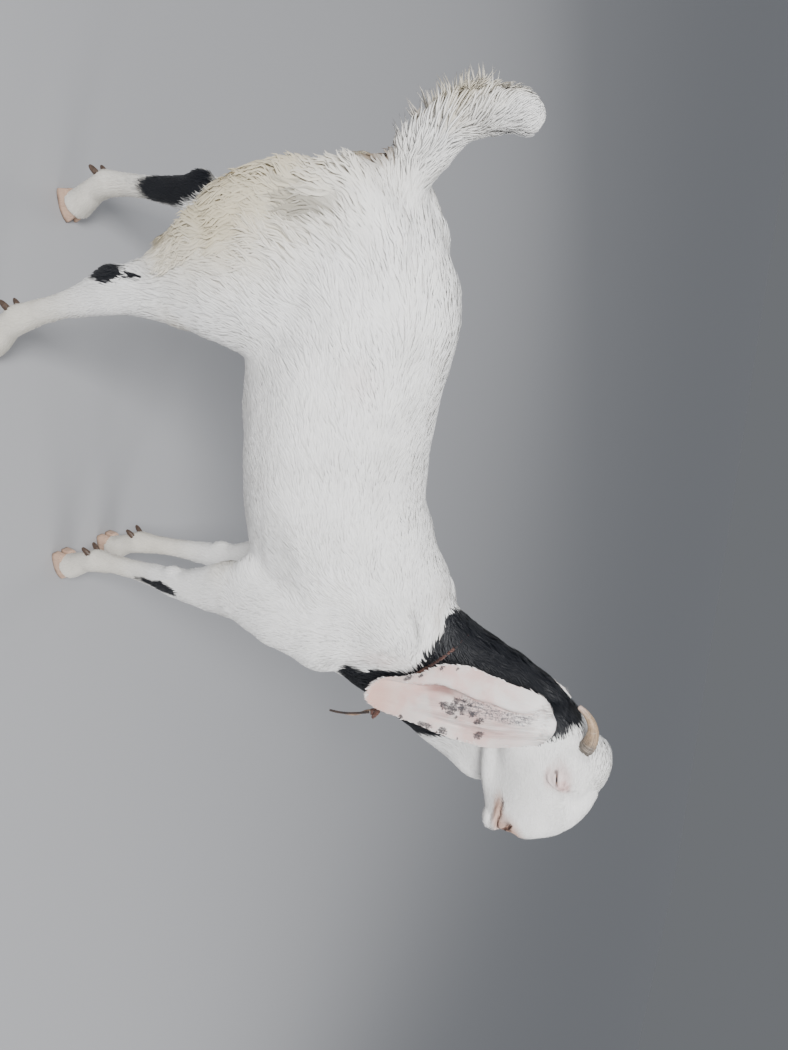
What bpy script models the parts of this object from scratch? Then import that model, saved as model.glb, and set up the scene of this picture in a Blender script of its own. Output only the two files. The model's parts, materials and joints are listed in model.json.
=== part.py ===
"""A Sojat goat standing with its tail up, as a life-size still model.

Metres, +Z up, +X towards the head, +Y to the goat's left. The goat is modelled as one
skin, which thin cuts part into torso, neck, head, tail and legs. The last lines move it
so that its origin is the bottom centre of its box.
"""
import math
import random

import bpy
import bmesh
from mathutils import Euler, Matrix, Vector
from mathutils.bvhtree import BVHTree

GAP = 0.0003
SOCKET_GAP = 0.0006
BODY_VOXEL = 0.0050
SKIN_VOXEL = 0.0026

# Trunk slices from the rump to the chest: x, top, bottom, half width.
TRUNK = (
    (-0.150, 0.735, 0.610, 0.045),
    (-0.125, 0.772, 0.560, 0.078),
    (-0.070, 0.800, 0.520, 0.102),
    (0.000, 0.828, 0.500, 0.116),
    (0.065, 0.834, 0.498, 0.124),
    (0.130, 0.814, 0.502, 0.134),
    (0.190, 0.794, 0.494, 0.140),
    (0.260, 0.778, 0.485, 0.142),
    (0.325, 0.774, 0.476, 0.139),
    (0.390, 0.790, 0.466, 0.129),
    (0.450, 0.822, 0.462, 0.115),
    (0.500, 0.820, 0.462, 0.102),
    (0.550, 0.792, 0.478, 0.090),
    (0.594, 0.745, 0.502, 0.071),
    (0.627, 0.690, 0.540, 0.045),
)

# Neck slices from the withers to the poll: the nape's x and z, the throat's x and z,
# the middle's y, and the half width.
NECK = (
    (0.440, 0.800, 0.622, 0.560, 0.000, 0.078),
    (0.494, 0.842, 0.664, 0.650, -0.002, 0.070),
    (0.520, 0.905, 0.702, 0.725, -0.007, 0.060),
    (0.538, 0.962, 0.733, 0.790, -0.015, 0.053),
    (0.556, 1.006, 0.750, 0.842, -0.025, 0.048),
    (0.580, 1.034, 0.750, 0.888, -0.035, 0.046),
    (0.606, 1.046, 0.715, 0.930, -0.042, 0.043),
)

# The head's own frame: its origin, and how far the goat turns it to the right.
HEAD_PLACE = Vector((0.620, -0.045, 0.0))
HEAD_TURN = math.radians(-14.0)

# Head slices from the poll to the lips: x, top, bottom, and the half widths of the brow,
# the middle and the jaw.
HEAD = (
    (-0.044, 1.026, 0.962, 0.028, 0.040, 0.036),
    (-0.024, 1.050, 0.944, 0.036, 0.049, 0.043),
    (0.000, 1.068, 0.922, 0.046, 0.054, 0.042),
    (0.028, 1.078, 0.911, 0.050, 0.056, 0.036),
    (0.055, 1.081, 0.905, 0.045, 0.052, 0.030),
    (0.085, 1.080, 0.904, 0.034, 0.044, 0.026),
    (0.112, 1.071, 0.906, 0.027, 0.038, 0.024),
    (0.138, 1.055, 0.911, 0.024, 0.034, 0.023),
    (0.160, 1.032, 0.916, 0.022, 0.030, 0.022),
    (0.174, 1.005, 0.920, 0.020, 0.027, 0.020),
    (0.183, 0.974, 0.926, 0.016, 0.021, 0.016),
)

# Where the lips meet, in the head's frame.
MOUTH_CORNER = Vector((0.122, 0.030, 0.953))
MOUTH_FRONT = Vector((0.184, 0.000, 0.940))

# The eyes and the slits between their lids, in the head's frame.
EYE = Vector((0.047, 0.0395, 1.030))
EYE_RADIUS = 0.0135
SLIT_MATRIX = Matrix.Rotation(math.radians(12), 2)
SLIT_HALF = 0.0115
SLIT_OPEN = 0.0019

# Fore leg from shoulder to foot: x, y, z, half depth along the body, half width.
FORE_LEG = (
    (0.490, 0.062, 0.740, 0.050, 0.024),
    (0.500, 0.070, 0.690, 0.075, 0.036),
    (0.515, 0.076, 0.620, 0.083, 0.042),
    (0.505, 0.080, 0.545, 0.075, 0.042),
    (0.492, 0.079, 0.490, 0.062, 0.037),
    (0.498, 0.075, 0.440, 0.050, 0.031),
    (0.510, 0.071, 0.390, 0.040, 0.027),
    (0.516, 0.067, 0.345, 0.031, 0.025),
    (0.518, 0.064, 0.310, 0.0280, 0.0245),
    (0.514, 0.062, 0.270, 0.0230, 0.0200),
    (0.514, 0.059, 0.210, 0.0190, 0.0165),
    (0.515, 0.056, 0.150, 0.0190, 0.0170),
    (0.517, 0.055, 0.108, 0.0235, 0.0215),
    (0.525, 0.055, 0.075, 0.0200, 0.0210),
    (0.537, 0.055, 0.046, 0.0230, 0.0245),
    (0.545, 0.055, 0.020, 0.0270, 0.0270),
)
FORE_FEET = {"right": (0.0, -1), "left": (0.006, 1)}

# Hind legs: the right one stands forward and the left one back. Stations of x, y, z,
# half depth and half width.
HIND_RIGHT = (
    (0.000, -0.050, 0.780, 0.060, 0.030),
    (-0.024, -0.064, 0.720, 0.120, 0.046),
    (-0.023, -0.078, 0.650, 0.128, 0.048),
    (-0.014, -0.088, 0.580, 0.124, 0.047),
    (-0.005, -0.095, 0.520, 0.101, 0.042),
    (0.002, -0.100, 0.460, 0.068, 0.034),
    (0.009, -0.103, 0.405, 0.045, 0.027),
    (0.011, -0.105, 0.360, 0.037, 0.0240),
    (0.014, -0.106, 0.320, 0.036, 0.0235),
    (0.026, -0.107, 0.270, 0.0260, 0.0205),
    (0.036, -0.108, 0.215, 0.0205, 0.0180),
    (0.048, -0.109, 0.155, 0.0205, 0.0180),
    (0.058, -0.110, 0.110, 0.0245, 0.0220),
    (0.074, -0.111, 0.076, 0.0205, 0.0215),
    (0.092, -0.112, 0.046, 0.0230, 0.0245),
    (0.103, -0.112, 0.020, 0.0270, 0.0270),
)
HIND_LEFT = (
    (-0.004, 0.050, 0.780, 0.060, 0.030),
    (-0.032, 0.064, 0.720, 0.114, 0.046),
    (-0.042, 0.078, 0.650, 0.117, 0.048),
    (-0.040, 0.088, 0.580, 0.108, 0.047),
    (-0.040, 0.096, 0.520, 0.086, 0.042),
    (-0.062, 0.102, 0.460, 0.060, 0.034),
    (-0.088, 0.107, 0.405, 0.043, 0.027),
    (-0.106, 0.110, 0.360, 0.037, 0.0240),
    (-0.118, 0.112, 0.320, 0.036, 0.0235),
    (-0.126, 0.114, 0.270, 0.0260, 0.0205),
    (-0.134, 0.116, 0.215, 0.0205, 0.0180),
    (-0.142, 0.118, 0.155, 0.0205, 0.0180),
    (-0.146, 0.119, 0.110, 0.0245, 0.0220),
    (-0.136, 0.120, 0.076, 0.0205, 0.0215),
    (-0.122, 0.120, 0.046, 0.0230, 0.0245),
    (-0.112, 0.120, 0.020, 0.0270, 0.0270),
)

# Tail from its root to its tip: x, y, z, half depth, half width.
TAIL = (
    (-0.100, 0.000, 0.745, 0.030, 0.036),
    (-0.135, 0.000, 0.778, 0.032, 0.034),
    (-0.160, 0.000, 0.808, 0.030, 0.030),
    (-0.176, 0.000, 0.840, 0.027, 0.027),
    (-0.183, 0.000, 0.875, 0.026, 0.026),
    (-0.181, 0.000, 0.908, 0.025, 0.025),
    (-0.172, 0.000, 0.932, 0.018, 0.018),
    (-0.168, 0.000, 0.940, 0.010, 0.010),
)

# Ears: the right one's root, the point its middle line bends towards, and its tip.
EAR_ROOT = Vector((0.585, -0.086, 1.018))
EAR_MIDDLE = Vector((0.578, -0.128, 0.890))
EAR_TIP = Vector((0.594, -0.120, 0.738))
EAR_FACE_TURN = math.radians(-27)
# The left ear hangs further forward than the right one, and out over the neck.
LEFT_EAR_SWING = math.radians(-16)
LEFT_EAR_SPLAY = math.radians(16)
LEFT_EAR_SHIFT = Vector((0.014, 0.004, -0.004))
# The leaf's width before and behind its middle line, from root to tip.
EAR_FRONT = ((0.0, 0.026), (0.05, 0.034), (0.16, 0.044), (0.28, 0.049), (0.46, 0.049),
             (0.60, 0.043), (0.72, 0.036), (0.84, 0.030), (0.92, 0.024), (0.965, 0.016), (1.0, 0.005))
EAR_BACK = ((0.0, 0.022), (0.05, 0.035), (0.16, 0.038), (0.28, 0.043), (0.42, 0.054),
            (0.54, 0.060), (0.64, 0.058), (0.74, 0.048), (0.86, 0.038), (0.93, 0.030), (0.965, 0.020),
            (1.0, 0.006))
EAR_THICK = 0.0046
EAR_ROWS = 12
EAR_SUNK_ROWS = 5
EAR_PIVOT = Vector((0.612, 0.022, 1.018))

# Horns in the head's frame: x, y, z, half thickness. The left one is a stub behind the crown.
HORN = (
    (0.010, 0.026, 1.048, 0.0122),
    (0.003, 0.027, 1.057, 0.0120),
    (-0.007, 0.028, 1.063, 0.0112),
    (-0.020, 0.030, 1.066, 0.0100),
    (-0.032, 0.032, 1.065, 0.0088),
    (-0.043, 0.033, 1.060, 0.0074),
    (-0.052, 0.034, 1.052, 0.0058),
    (-0.058, 0.034, 1.043, 0.0036),
)
HORN_STUB = 3

# Hooves: a sole's half widths along its length, and where each foot stands.
SOLE = ((-0.027, 0.0075), (-0.022, 0.0105), (-0.008, 0.0118), (0.010, 0.0110), (0.024, 0.0072),
        (0.0325, 0.0025))
CLAW_GAP = 0.0030
CORONET_HEIGHT = 0.029
CORONET_SLOPE = 0.26
FEET = {
    "fore_right": (0.541, -0.055), "fore_left": (0.547, 0.055),
    "hind_right": (0.098, -0.112), "hind_left": (-0.116, 0.120),
}

DEWCLAW_SIZE = 0.0062

# The collar's highest and lowest points, its cord, its knot and its two loose ends.
COLLAR_BACK = Vector((0.500, 0.0, 0.874))
COLLAR_FRONT = Vector((0.698, 0.0, 0.694))
COLLAR_SAG = Vector((-0.7325, 0.0, -0.681)) * 0.012
COLLAR_RADIUS = 0.0030
CORD_RADIUS = 0.0022

KNOT_RADII = (0.0070, 0.0080, 0.0075)
KNOT_PLACE = -4
# Each loose end as steps from under the knot.
DARK_END = ((0.0, -0.003, 0.0), (0.006, -0.005, -0.018), (0.012, -0.006, -0.038),
            (0.017, -0.005, -0.058), (0.020, -0.003, -0.076))
TAN_END = ((0.0, 0.003, 0.0), (0.007, 0.005, -0.012), (0.017, 0.007, -0.024), (0.024, 0.008, -0.038),
           (0.026, 0.007, -0.052))

# Where thin cuts part the skin: a point of each plane, and the way it faces.

NECK_CUT = (Vector((0.488, 0, 0.838)), Vector((0.7325, 0, 0.681)).normalized())
HEAD_CUT = (Vector((0.552, 0, 1.000)), Vector((0.6697, 0, 0.7427)).normalized())
TAIL_CUT = (Vector((-0.132, 0, 0.768)), Vector((-0.66, 0, 0.75)).normalized())
HOCK_CUT_HEIGHT = 0.425

# Each leg is what lies outside a slanting plane, between two x limits: the plane's low and
# high points are given as distance from the middle, and height.
LEG_CUTS = {
    "fore_right": (0.395, 0.612, (0.034, 0.460), (0.100, 0.660), -1),
    "fore_left": (0.395, 0.612, (0.034, 0.460), (0.100, 0.660), 1),
    "hind_right": (-0.300, 0.140, (0.034, 0.480), (0.112, 0.740), -1),
    "hind_left": (-0.300, 0.105, (0.034, 0.480), (0.112, 0.740), 1),
}
LEG_STATIONS = {"hind_right": HIND_RIGHT, "hind_left": HIND_LEFT}
for foot_side, (foot_shift, foot_sign) in FORE_FEET.items():
    LEG_STATIONS["fore_" + foot_side] = [(x + foot_shift, foot_sign * y, z, deep, wide)
                                         for x, y, z, deep, wide in FORE_LEG]

# Locks of the tail's fringe and of the breeches: how deep they root, how far they wave,
# and how broad and full they are from root to tip.
LOCK_SINK = 0.0072
FRINGE_THICK = 0.0065
BREECH_THICK = 0.0085
LOCK_WAVE = 0.0030
LOCK_TAPER = ((0.70, 1.0), (1.0, 1.0), (0.98, 0.85), (0.78, 0.60), (0.44, 0.35))
TAIL_LEVELS = 8
TAIL_COLUMNS = 4
FRINGE_AXIS = (Vector((-0.140, 0, 0.782)), Vector((-0.182, 0, 0.885)))
FRINGE_EDGE = (Vector((-0.232, 0, 0.728)), Vector((-0.236, 0, 0.880)))
FRINGE_SPREAD = math.radians(80)
FRINGE_WIDTH = (0.028, 0.034)
BREECH_LEVELS = 6
BREECH_COLUMNS = 5
BREECH_TOP = 0.690
BREECH_FOOT = 0.482
BREECH_INNER = math.radians(-40)
BREECH_OUTER = math.radians(75)
BREECH_LENGTH = (0.056, 0.068)
BREECH_WIDTH = (0.026, 0.034)

# Triangles a node keeps before its locks and cuts are added.
TRIANGLES = {"torso": 2700, "neck": 380, "head": 1900, "tail": 200, "hind": 1500, "fore": 1050}

# Colours and roughness.
COAT = ((0.80, 0.77, 0.72), 0.85)
BLACK_COAT = ((0.02, 0.02, 0.03), 0.6)
CREAM = ((0.78, 0.72, 0.60), 0.85)
PINK = ((0.78, 0.60, 0.55), 0.7)
HORN_GREY = ((0.33, 0.28, 0.22), 0.5)
HOOF_BROWN = ((0.30, 0.20, 0.14), 0.5)
EYE_DARK = ((0.16, 0.10, 0.05), 0.1)
LEATHER = ((0.28, 0.12, 0.08), 0.7)


def head_point(x, y, z):
    """A point of the head's own frame in the goat's."""
    return HEAD_PLACE + Matrix.Rotation(HEAD_TURN, 3, "Z") @ Vector((x, y, 0)) + Vector((0, 0, z))


# Meshes


def mesh_object(name, rings, tip=False):
    """A closed tube through rings of equal count, with flat ends or a pointed tip."""
    mesh = bmesh.new()
    loops = [[mesh.verts.new(p) for p in ring] for ring in rings]
    count = len(loops[0])
    for low, high in zip(loops, loops[1:]):
        for i in range(count):
            j = (i + 1) % count
            mesh.faces.new((low[i], low[j], high[j]))
            mesh.faces.new((low[i], high[j], high[i]))
    mesh.faces.new(loops[0][::-1])
    if tip:
        end = mesh.verts.new(tip)
        for i in range(count):
            mesh.faces.new((loops[-1][i], loops[-1][(i + 1) % count], end))
    else:
        mesh.faces.new(loops[-1])
    bmesh.ops.recalc_face_normals(mesh, faces=mesh.faces)
    data = bpy.data.meshes.new(name)
    mesh.to_mesh(data)
    mesh.free()
    thing = bpy.data.objects.new(name, data)
    bpy.context.scene.collection.objects.link(thing)
    return thing


def slice_ring(x, top, bottom, widths, sides=28, place=None):
    """An egg-shaped ring across the body, with half widths at its top, middle and bottom."""
    ring = []
    for k in range(sides):
        turn = 2 * math.pi * k / sides
        up, side = math.cos(turn), math.sin(turn)
        high, middle, low = widths
        width = middle + (high - middle) * max(up, 0) ** 1.3 + (low - middle) * max(-up, 0) ** 1.3
        y = width * math.copysign(abs(side) ** 0.9, side)
        z = (top + bottom) / 2 + (top - bottom) / 2 * math.copysign(abs(up) ** 0.95, up)
        ring.append(place(x, y, z) if place else Vector((x, y, z)))
    return ring


def limb(name, stations, across=Vector((1, 0, 0)), sides=20, blunt=2.0):
    """A tube through stations of x, y, z, half depth along across, and half width."""
    centres = [Vector(s[:3]) for s in stations]
    rings = []
    for i, station in enumerate(stations):
        along = (centres[min(i + 1, len(centres) - 1)] - centres[max(i - 1, 0)]).normalized()
        deep = (across - along * across.dot(along)).normalized()
        wide = along.cross(deep)
        ring = []
        for k in range(sides):
            turn = 2 * math.pi * k / sides
            c, s = math.cos(turn), math.sin(turn)
            c = math.copysign(abs(c) ** (2 / blunt), c)
            s = math.copysign(abs(s) ** (2 / blunt), s)
            ring.append(centres[i] + deep * (station[3] * c) + wide * (station[4] * s))
        rings.append(ring)
    return mesh_object(name, rings)


def ball(name, centre, radii, turn=(0, 0, 0), segments=24):
    """An ellipsoid."""
    bpy.ops.mesh.primitive_uv_sphere_add(segments=segments, ring_count=segments // 2, location=(0, 0, 0))
    thing = bpy.context.object
    thing.name = name
    shape = Matrix.Diagonal((*radii, 1))
    turned = Euler(turn).to_matrix().to_4x4()
    thing.data.transform(Matrix.Translation(Vector(centre)) @ turned @ shape)
    return thing


def remove(thing):
    data = thing.data
    bpy.data.objects.remove(thing)
    bpy.data.meshes.remove(data)


def join(name, things):
    """One mesh of several closed ones, which may still cross."""
    mesh = bmesh.new()
    for thing in things:
        mesh.from_mesh(thing.data)
        remove(thing)
    data = bpy.data.meshes.new(name)
    mesh.to_mesh(data)
    mesh.free()
    joined = bpy.data.objects.new(name, data)
    bpy.context.scene.collection.objects.link(joined)
    return joined


def settle(thing):
    """Replaces a mesh by what its modifiers make of it."""
    graph = bpy.context.evaluated_depsgraph_get()
    data = bpy.data.meshes.new_from_object(thing.evaluated_get(graph))
    old = thing.data
    thing.modifiers.clear()
    thing.data = data
    bpy.data.meshes.remove(old)
    return thing


def broadness(point):
    """How far the skin is smoothed: fully on the trunk, little on legs, head and tail."""
    if point.x < -0.13 and point.z > 0.76:
        return 0.15
    if point.x > 0.57 and point.z > 0.86:
        return 0.5
    return min(1.0, max(0.10, (point.z - 0.44) / 0.10))


def fuse(thing, voxel, rounds, broad=False):
    """One smooth closed skin over the joined shapes."""
    melt = thing.modifiers.new("melt", "REMESH")
    melt.mode = "VOXEL"
    melt.voxel_size = voxel
    settle(thing)
    if broad:
        group = thing.vertex_groups.new(name="broad")
        for vertex in thing.data.vertices:
            group.add([vertex.index], broadness(vertex.co), "REPLACE")
    soften = thing.modifiers.new("soften", "SMOOTH")
    soften.factor = 0.5
    soften.iterations = rounds
    if broad:
        soften.vertex_group = "broad"
    settle(thing)
    thing.vertex_groups.clear()
    return thing


def copy_of(thing, name):
    copied = bpy.data.objects.new(name, thing.data.copy())
    bpy.context.scene.collection.objects.link(copied)
    return copied


def thin_out(thing, triangles):
    """Fewer triangles over the same form."""
    mesh = bmesh.new()
    mesh.from_mesh(thing.data)
    bmesh.ops.triangulate(mesh, faces=mesh.faces)
    mesh.to_mesh(thing.data)
    mesh.free()
    fewer = thing.modifiers.new("fewer", "DECIMATE")
    fewer.ratio = min(1.0, triangles / len(thing.data.polygons))
    return settle(thing)


def keep_side(thing, point, normal):
    """Cuts a closed mesh by a plane, keeps the side the normal points to, and closes it."""
    mesh = bmesh.new()
    mesh.from_mesh(thing.data)
    geometry = mesh.verts[:] + mesh.edges[:] + mesh.faces[:]
    cut = bmesh.ops.bisect_plane(mesh, geom=geometry, dist=1e-6, plane_co=point, plane_no=normal,
                                 clear_inner=True)
    edges = [e for e in cut["geom_cut"] if isinstance(e, bmesh.types.BMEdge)]
    if edges:
        bmesh.ops.holes_fill(mesh, edges=edges, sides=0)
    mesh.to_mesh(thing.data)
    mesh.free()
    return thing


def boolean(thing, tool, operation):
    cut = thing.modifiers.new("cut", "BOOLEAN")
    cut.operation = operation
    cut.solver = "EXACT"
    cut.object = tool
    settle(thing)
    remove(tool)
    return thing


def join_all(thing, pieces):
    """Joins many crossing pieces to a node by one Boolean union."""
    group = bpy.data.collections.new(thing.name + "_pieces")
    bpy.context.scene.collection.children.link(group)
    for piece in pieces:
        bpy.context.scene.collection.objects.unlink(piece)
        group.objects.link(piece)
    union = thing.modifiers.new("union", "BOOLEAN")
    union.operand_type = "COLLECTION"
    union.collection = group
    union.operation = "UNION"
    union.solver = "EXACT"
    settle(thing)
    for piece in pieces:
        remove(piece)
    bpy.data.collections.remove(group)
    return thing


def largest_only(thing):
    """Keeps the largest closed surface, cleaned of slivers."""
    mesh = bmesh.new()
    mesh.from_mesh(thing.data)
    bmesh.ops.remove_doubles(mesh, verts=mesh.verts, dist=2e-5)
    bmesh.ops.triangulate(mesh, faces=mesh.faces)
    bmesh.ops.dissolve_degenerate(mesh, edges=mesh.edges, dist=2e-5)
    bmesh.ops.triangulate(mesh, faces=mesh.faces)
    mesh.faces.ensure_lookup_table()
    seen, groups = set(), []
    for first in mesh.faces:
        if first in seen:
            continue
        group, queue = [], [first]
        seen.add(first)
        while queue:
            face = queue.pop()
            group.append(face)
            for edge in face.edges:
                for other in edge.link_faces:
                    if other not in seen:
                        seen.add(other)
                        queue.append(other)
        groups.append(group)
    groups.sort(key=len, reverse=True)
    for group in groups[1:]:
        bmesh.ops.delete(mesh, geom=group, context="FACES")
    loose = [v for v in mesh.verts if not v.link_faces]
    bmesh.ops.delete(mesh, geom=loose, context="VERTS")
    mesh.to_mesh(thing.data)
    mesh.free()
    return thing


def box_tool(name, centre, size, turn):
    """A box with its own turn, to cut with."""
    bpy.ops.mesh.primitive_cube_add(size=1)
    tool = bpy.context.object
    tool.name = name
    shape = Matrix.Diagonal((*size, 1))
    tool.data.transform(Matrix.Translation(Vector(centre)) @ turn.to_4x4() @ shape)
    return tool


# Trunk, neck and head


def trunk():
    rings = []
    for x, top, bottom, half in TRUNK:
        rings.append(slice_ring(x, top, bottom, (half * 0.78, half, half * 0.82)))
    return mesh_object("trunk", rings)


def neck():
    rings = []
    for back_x, back_z, front_x, front_z, y, half in NECK:
        back, front = Vector((back_x, y, back_z)), Vector((front_x, y, front_z))
        middle, deep = (back + front) / 2, (front - back) / 2
        ring = []
        for k in range(24):
            turn = 2 * math.pi * k / 24
            ring.append(middle + deep * math.cos(turn) + Vector((0, half * math.sin(turn), 0)))
        rings.append(ring)
    return mesh_object("neck_form", rings)


def skull():
    rings = [slice_ring(x, top, bottom, widths, place=head_point) for x, top, bottom, *widths in HEAD]
    return mesh_object("skull", rings)


def mouth_line(t, out=0.0, rise=0.0):
    """The line where the lips meet: t runs from -1, the right corner, to 1, the left one."""
    swing = t * math.pi / 2
    x = MOUTH_CORNER.x + (MOUTH_FRONT.x - MOUTH_CORNER.x + out) * math.cos(swing) ** 0.75
    y = (MOUTH_CORNER.y - 0.006 + out) * math.sin(swing)
    y = math.copysign(abs(y) + 0.006 * abs(t) ** 3, y)
    z = MOUTH_FRONT.z + (MOUTH_CORNER.z - MOUTH_FRONT.z) * abs(t) ** 2.2 + rise
    return head_point(x, y, z)


def lip(name, rise, radius, out):
    stations = []
    for k in range(17):
        t = -1 + k / 8
        size = radius * (1 - 0.55 * abs(t) ** 2)
        stations.append((*mouth_line(t * 0.98, out, rise), size, size))
    return limb(name, stations, across=Vector((0, 0, 1)), sides=10)


def skull_masses():
    """The broad masses under the skin of the head."""
    forms = [skull()]
    for side in (-1, 1):
        forms.append(ball("brow", head_point(0.042, side * 0.034, 1.042), (0.042, 0.020, 0.034)))
        forms.append(ball("cheek", head_point(0.034, side * 0.034, 0.982), (0.052, 0.019, 0.046)))
        forms.append(ball("jaw", head_point(0.075, side * 0.018, 0.920), (0.070, 0.012, 0.014)))
        bridge = head_point(0.120, side * 0.014, 1.030)
        forms.append(ball("nasal", bridge, (0.040, 0.016, 0.020), (0, 0.7, 0)))
    forms.append(ball("crown", head_point(0.034, 0, 1.071), (0.038, 0.033, 0.021)))
    forms.append(ball("throat", (0.720, -0.036, 0.874), (0.040, 0.026, 0.050), (0, 0.5, 0)))
    return forms


def eye_arc(side, rise, radius, half, name):
    """A lid's rim: a thin tube that arches over or under the slit."""
    stations = []
    for k in range(9):
        t = -1 + k / 4
        x, z = SLIT_MATRIX @ Vector((half * t, rise * (1 - t * t)))
        out = 0.0150 * math.sqrt(max(0.0, 1 - (x / 0.021) ** 2 - (z / 0.022) ** 2))
        size = radius * (1 - 0.35 * t * t)
        stations.append((*head_point(EYE.x + x, side * (EYE.y + out), EYE.z + z), size, size))
    return limb(name, stations, across=Vector((0, 0, 1)), sides=8)


def head_details():
    """What is finer: lids, nose wings, lips and chin."""
    forms = []
    for side in (-1, 1):
        forms.append(ball("lids", head_point(EYE.x, side * EYE.y, EYE.z), (0.0225, 0.0158, 0.0185)))
        forms.append(eye_arc(side, 0.0046, 0.0022, 0.0135, "upper_rim"))
        forms.append(eye_arc(side, -0.0040, 0.0019, 0.0130, "lower_rim"))
        forms.append(eye_arc(side, 0.0125, 0.0024, 0.0180, "brow_fold"))
        forms.append(ball("nose_wing", head_point(0.165, side * 0.016, 0.974), (0.015, 0.010, 0.012)))
    forms.append(ball("chin", head_point(0.164, 0, 0.926), (0.022, 0.018, 0.012)))
    forms.append(lip("upper_lip", 0.0062, 0.0068, -0.0035))
    forms.append(lip("lower_lip", -0.0062, 0.0062, -0.0045))
    return forms


def slit_tool(side):
    """The opening between the lids: a lens across, cut in as deep as the eye's middle."""
    rings = []
    for depth, grow in ((-0.002, 0.7), (0.010, 0.9), (0.016, 1.0), (0.024, 1.5)):
        ring = []
        for k in range(16):
            turn = 2 * math.pi * k / 16
            x, z = SLIT_MATRIX @ Vector((SLIT_HALF * math.cos(turn), SLIT_OPEN * grow * math.sin(turn)))
            ring.append(head_point(EYE.x + x, side * (EYE.y + depth), EYE.z + z))
        rings.append(ring)
    return mesh_object("slit", rings)


def mouth_tool():
    """A thin wedge along the lips' line from corner to corner."""
    rings = []
    for k in range(15):
        t = (-1 + k / 7) * 0.97
        inner, outer = mouth_line(t, -0.0075, 0.0), mouth_line(t, 0.008, 0.0)
        open_height = 0.0016 * (1 - 0.4 * t * t)
        ring = [inner + Vector((0, 0, 0.0003)), inner - Vector((0, 0, 0.0003)),
                outer - Vector((0, 0, open_height)), outer + Vector((0, 0, open_height))]
        rings.append(ring)
    return mesh_object("mouth", rings)


def nostril_tool(side):
    """A comma-shaped pit in the wing of the nose."""
    stations = []
    for k in range(5):
        t = k / 4
        x, y, z = 0.1815 - 0.013 * t, 0.011 + 0.016 * t, 0.968 + 0.010 * t ** 1.5
        size = 0.0042 * (1 - 0.55 * t)
        stations.append((*head_point(x, side * y, z), size, size * 1.2))
    return limb("nostril", stations, across=Vector((0, 0, 1)), sides=8)


# Legs and tail


def leg_forms():
    forms = []
    for side, (shift, sign) in FORE_FEET.items():
        stations = [(x + shift, sign * y, z, deep, wide) for x, y, z, deep, wide in FORE_LEG]
        forms.append(limb("fore_" + side, stations, blunt=2.2))
        forms.append(ball("elbow", (0.448 + shift, sign * 0.084, 0.515), (0.030, 0.022, 0.040)))
        forms.append(ball("wrist", (0.500 + shift, sign * 0.066, 0.318), (0.024, 0.017, 0.022)))
        forms.append(ball("blade", (0.490, sign * 0.072, 0.690), (0.080, 0.034, 0.120), (0, 0.3, 0)))
        forms.append(ball("point", (0.571, sign * 0.062, 0.610), (0.048, 0.036, 0.060)))
    for name, stations in (("hind_right", HIND_RIGHT), ("hind_left", HIND_LEFT)):
        forms.append(limb(name, stations, blunt=2.2))
        hock = stations[8]
        forms.append(ball("heel", (hock[0] - 0.026, hock[1], hock[2] + 0.012), (0.016, 0.014, 0.030)))
        stifle = stations[4]
        forms.append(ball("stifle", (stifle[0] + 0.058, stifle[1] - math.copysign(0.004, stifle[1]),
                                     stifle[2] + 0.020), (0.036, 0.032, 0.050)))
    return forms


def flesh():
    forms = [trunk(), neck()] + skull_masses() + leg_forms()
    forms.append(limb("tail_form", TAIL))
    forms.append(ball("croup", (-0.105, 0, 0.745), (0.045, 0.060, 0.040)))
    body = fuse(join("body_form", forms), BODY_VOXEL, 40, broad=True)
    return fuse(join("flesh", [body] + head_details()), SKIN_VOXEL, 2)


# Ears: long hanging leaves, cupped and folded along their length. Each is a closed
# sheet, thick at the root and thin at the rim, with its root sunk into the head.


def read_curve(points, t):
    for (t0, a), (t1, b) in zip(points, points[1:]):
        if t <= t1:
            f = (t - t0) / (t1 - t0)
            return a + (b - a) * f
    return points[-1][1]


def ear_point(s, t, grow=0.0):
    """A point of the right ear's middle sheet, with its thickness and outward direction."""
    centre = EAR_ROOT * (1 - s) ** 2 + EAR_MIDDLE * (2 * s * (1 - s)) + EAR_TIP * s ** 2
    across = Vector((math.cos(EAR_FACE_TURN), math.sin(EAR_FACE_TURN), 0.0))
    outward = Vector((across.y, -across.x, 0.0))
    half = read_curve(EAR_FRONT if t > 0 else EAR_BACK, s) + grow
    open_up = min(1.0, s / 0.3)
    cup = 0.020 * (1 - open_up) * t * t + 0.010 * open_up * (abs(t) ** 2.4)
    fold = 0.0050 * open_up * math.sin(math.pi * 2.2 * t + 2.0 * s) * (1 - 0.6 * s)
    point = centre + across * (half * t) + outward * (cup + fold - 0.004)
    thick = EAR_THICK * (1 - 0.62 * t * t) * (1.5 - 0.8 * open_up) / 2 + grow
    return point, outward, thick


def ear(name, side, rows=EAR_ROWS, grow=0.0):
    """The right ear, or its mirror image in the head's middle plane, swung to its own hang."""
    rings = []
    columns = 9
    for i in range(rows + 1):
        s = 1 - (1 - i / EAR_ROWS) ** 1.3
        front, back = [], []
        for k in range(columns):
            t = -1 + 2 * k / (columns - 1)
            point, outward, thick = ear_point(s, t, grow)
            if i == 0:
                point = point + (EAR_ROOT - EAR_MIDDLE).normalized() * grow
            front.append(point + outward * thick)
            back.append(point - outward * thick)
        rings.append(front + back[::-1])
    thing = mesh_object(name, rings)
    if side > 0:
        mirror_in_head(thing)
        root = Matrix.Translation(EAR_PIVOT)
        swing = Matrix.Rotation(LEFT_EAR_SPLAY, 4, "X") @ Matrix.Rotation(LEFT_EAR_SWING, 4, "Y")
        thing.data.transform(Matrix.Translation(LEFT_EAR_SHIFT) @ root @ swing @ root.inverted())
    return thing


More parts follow.
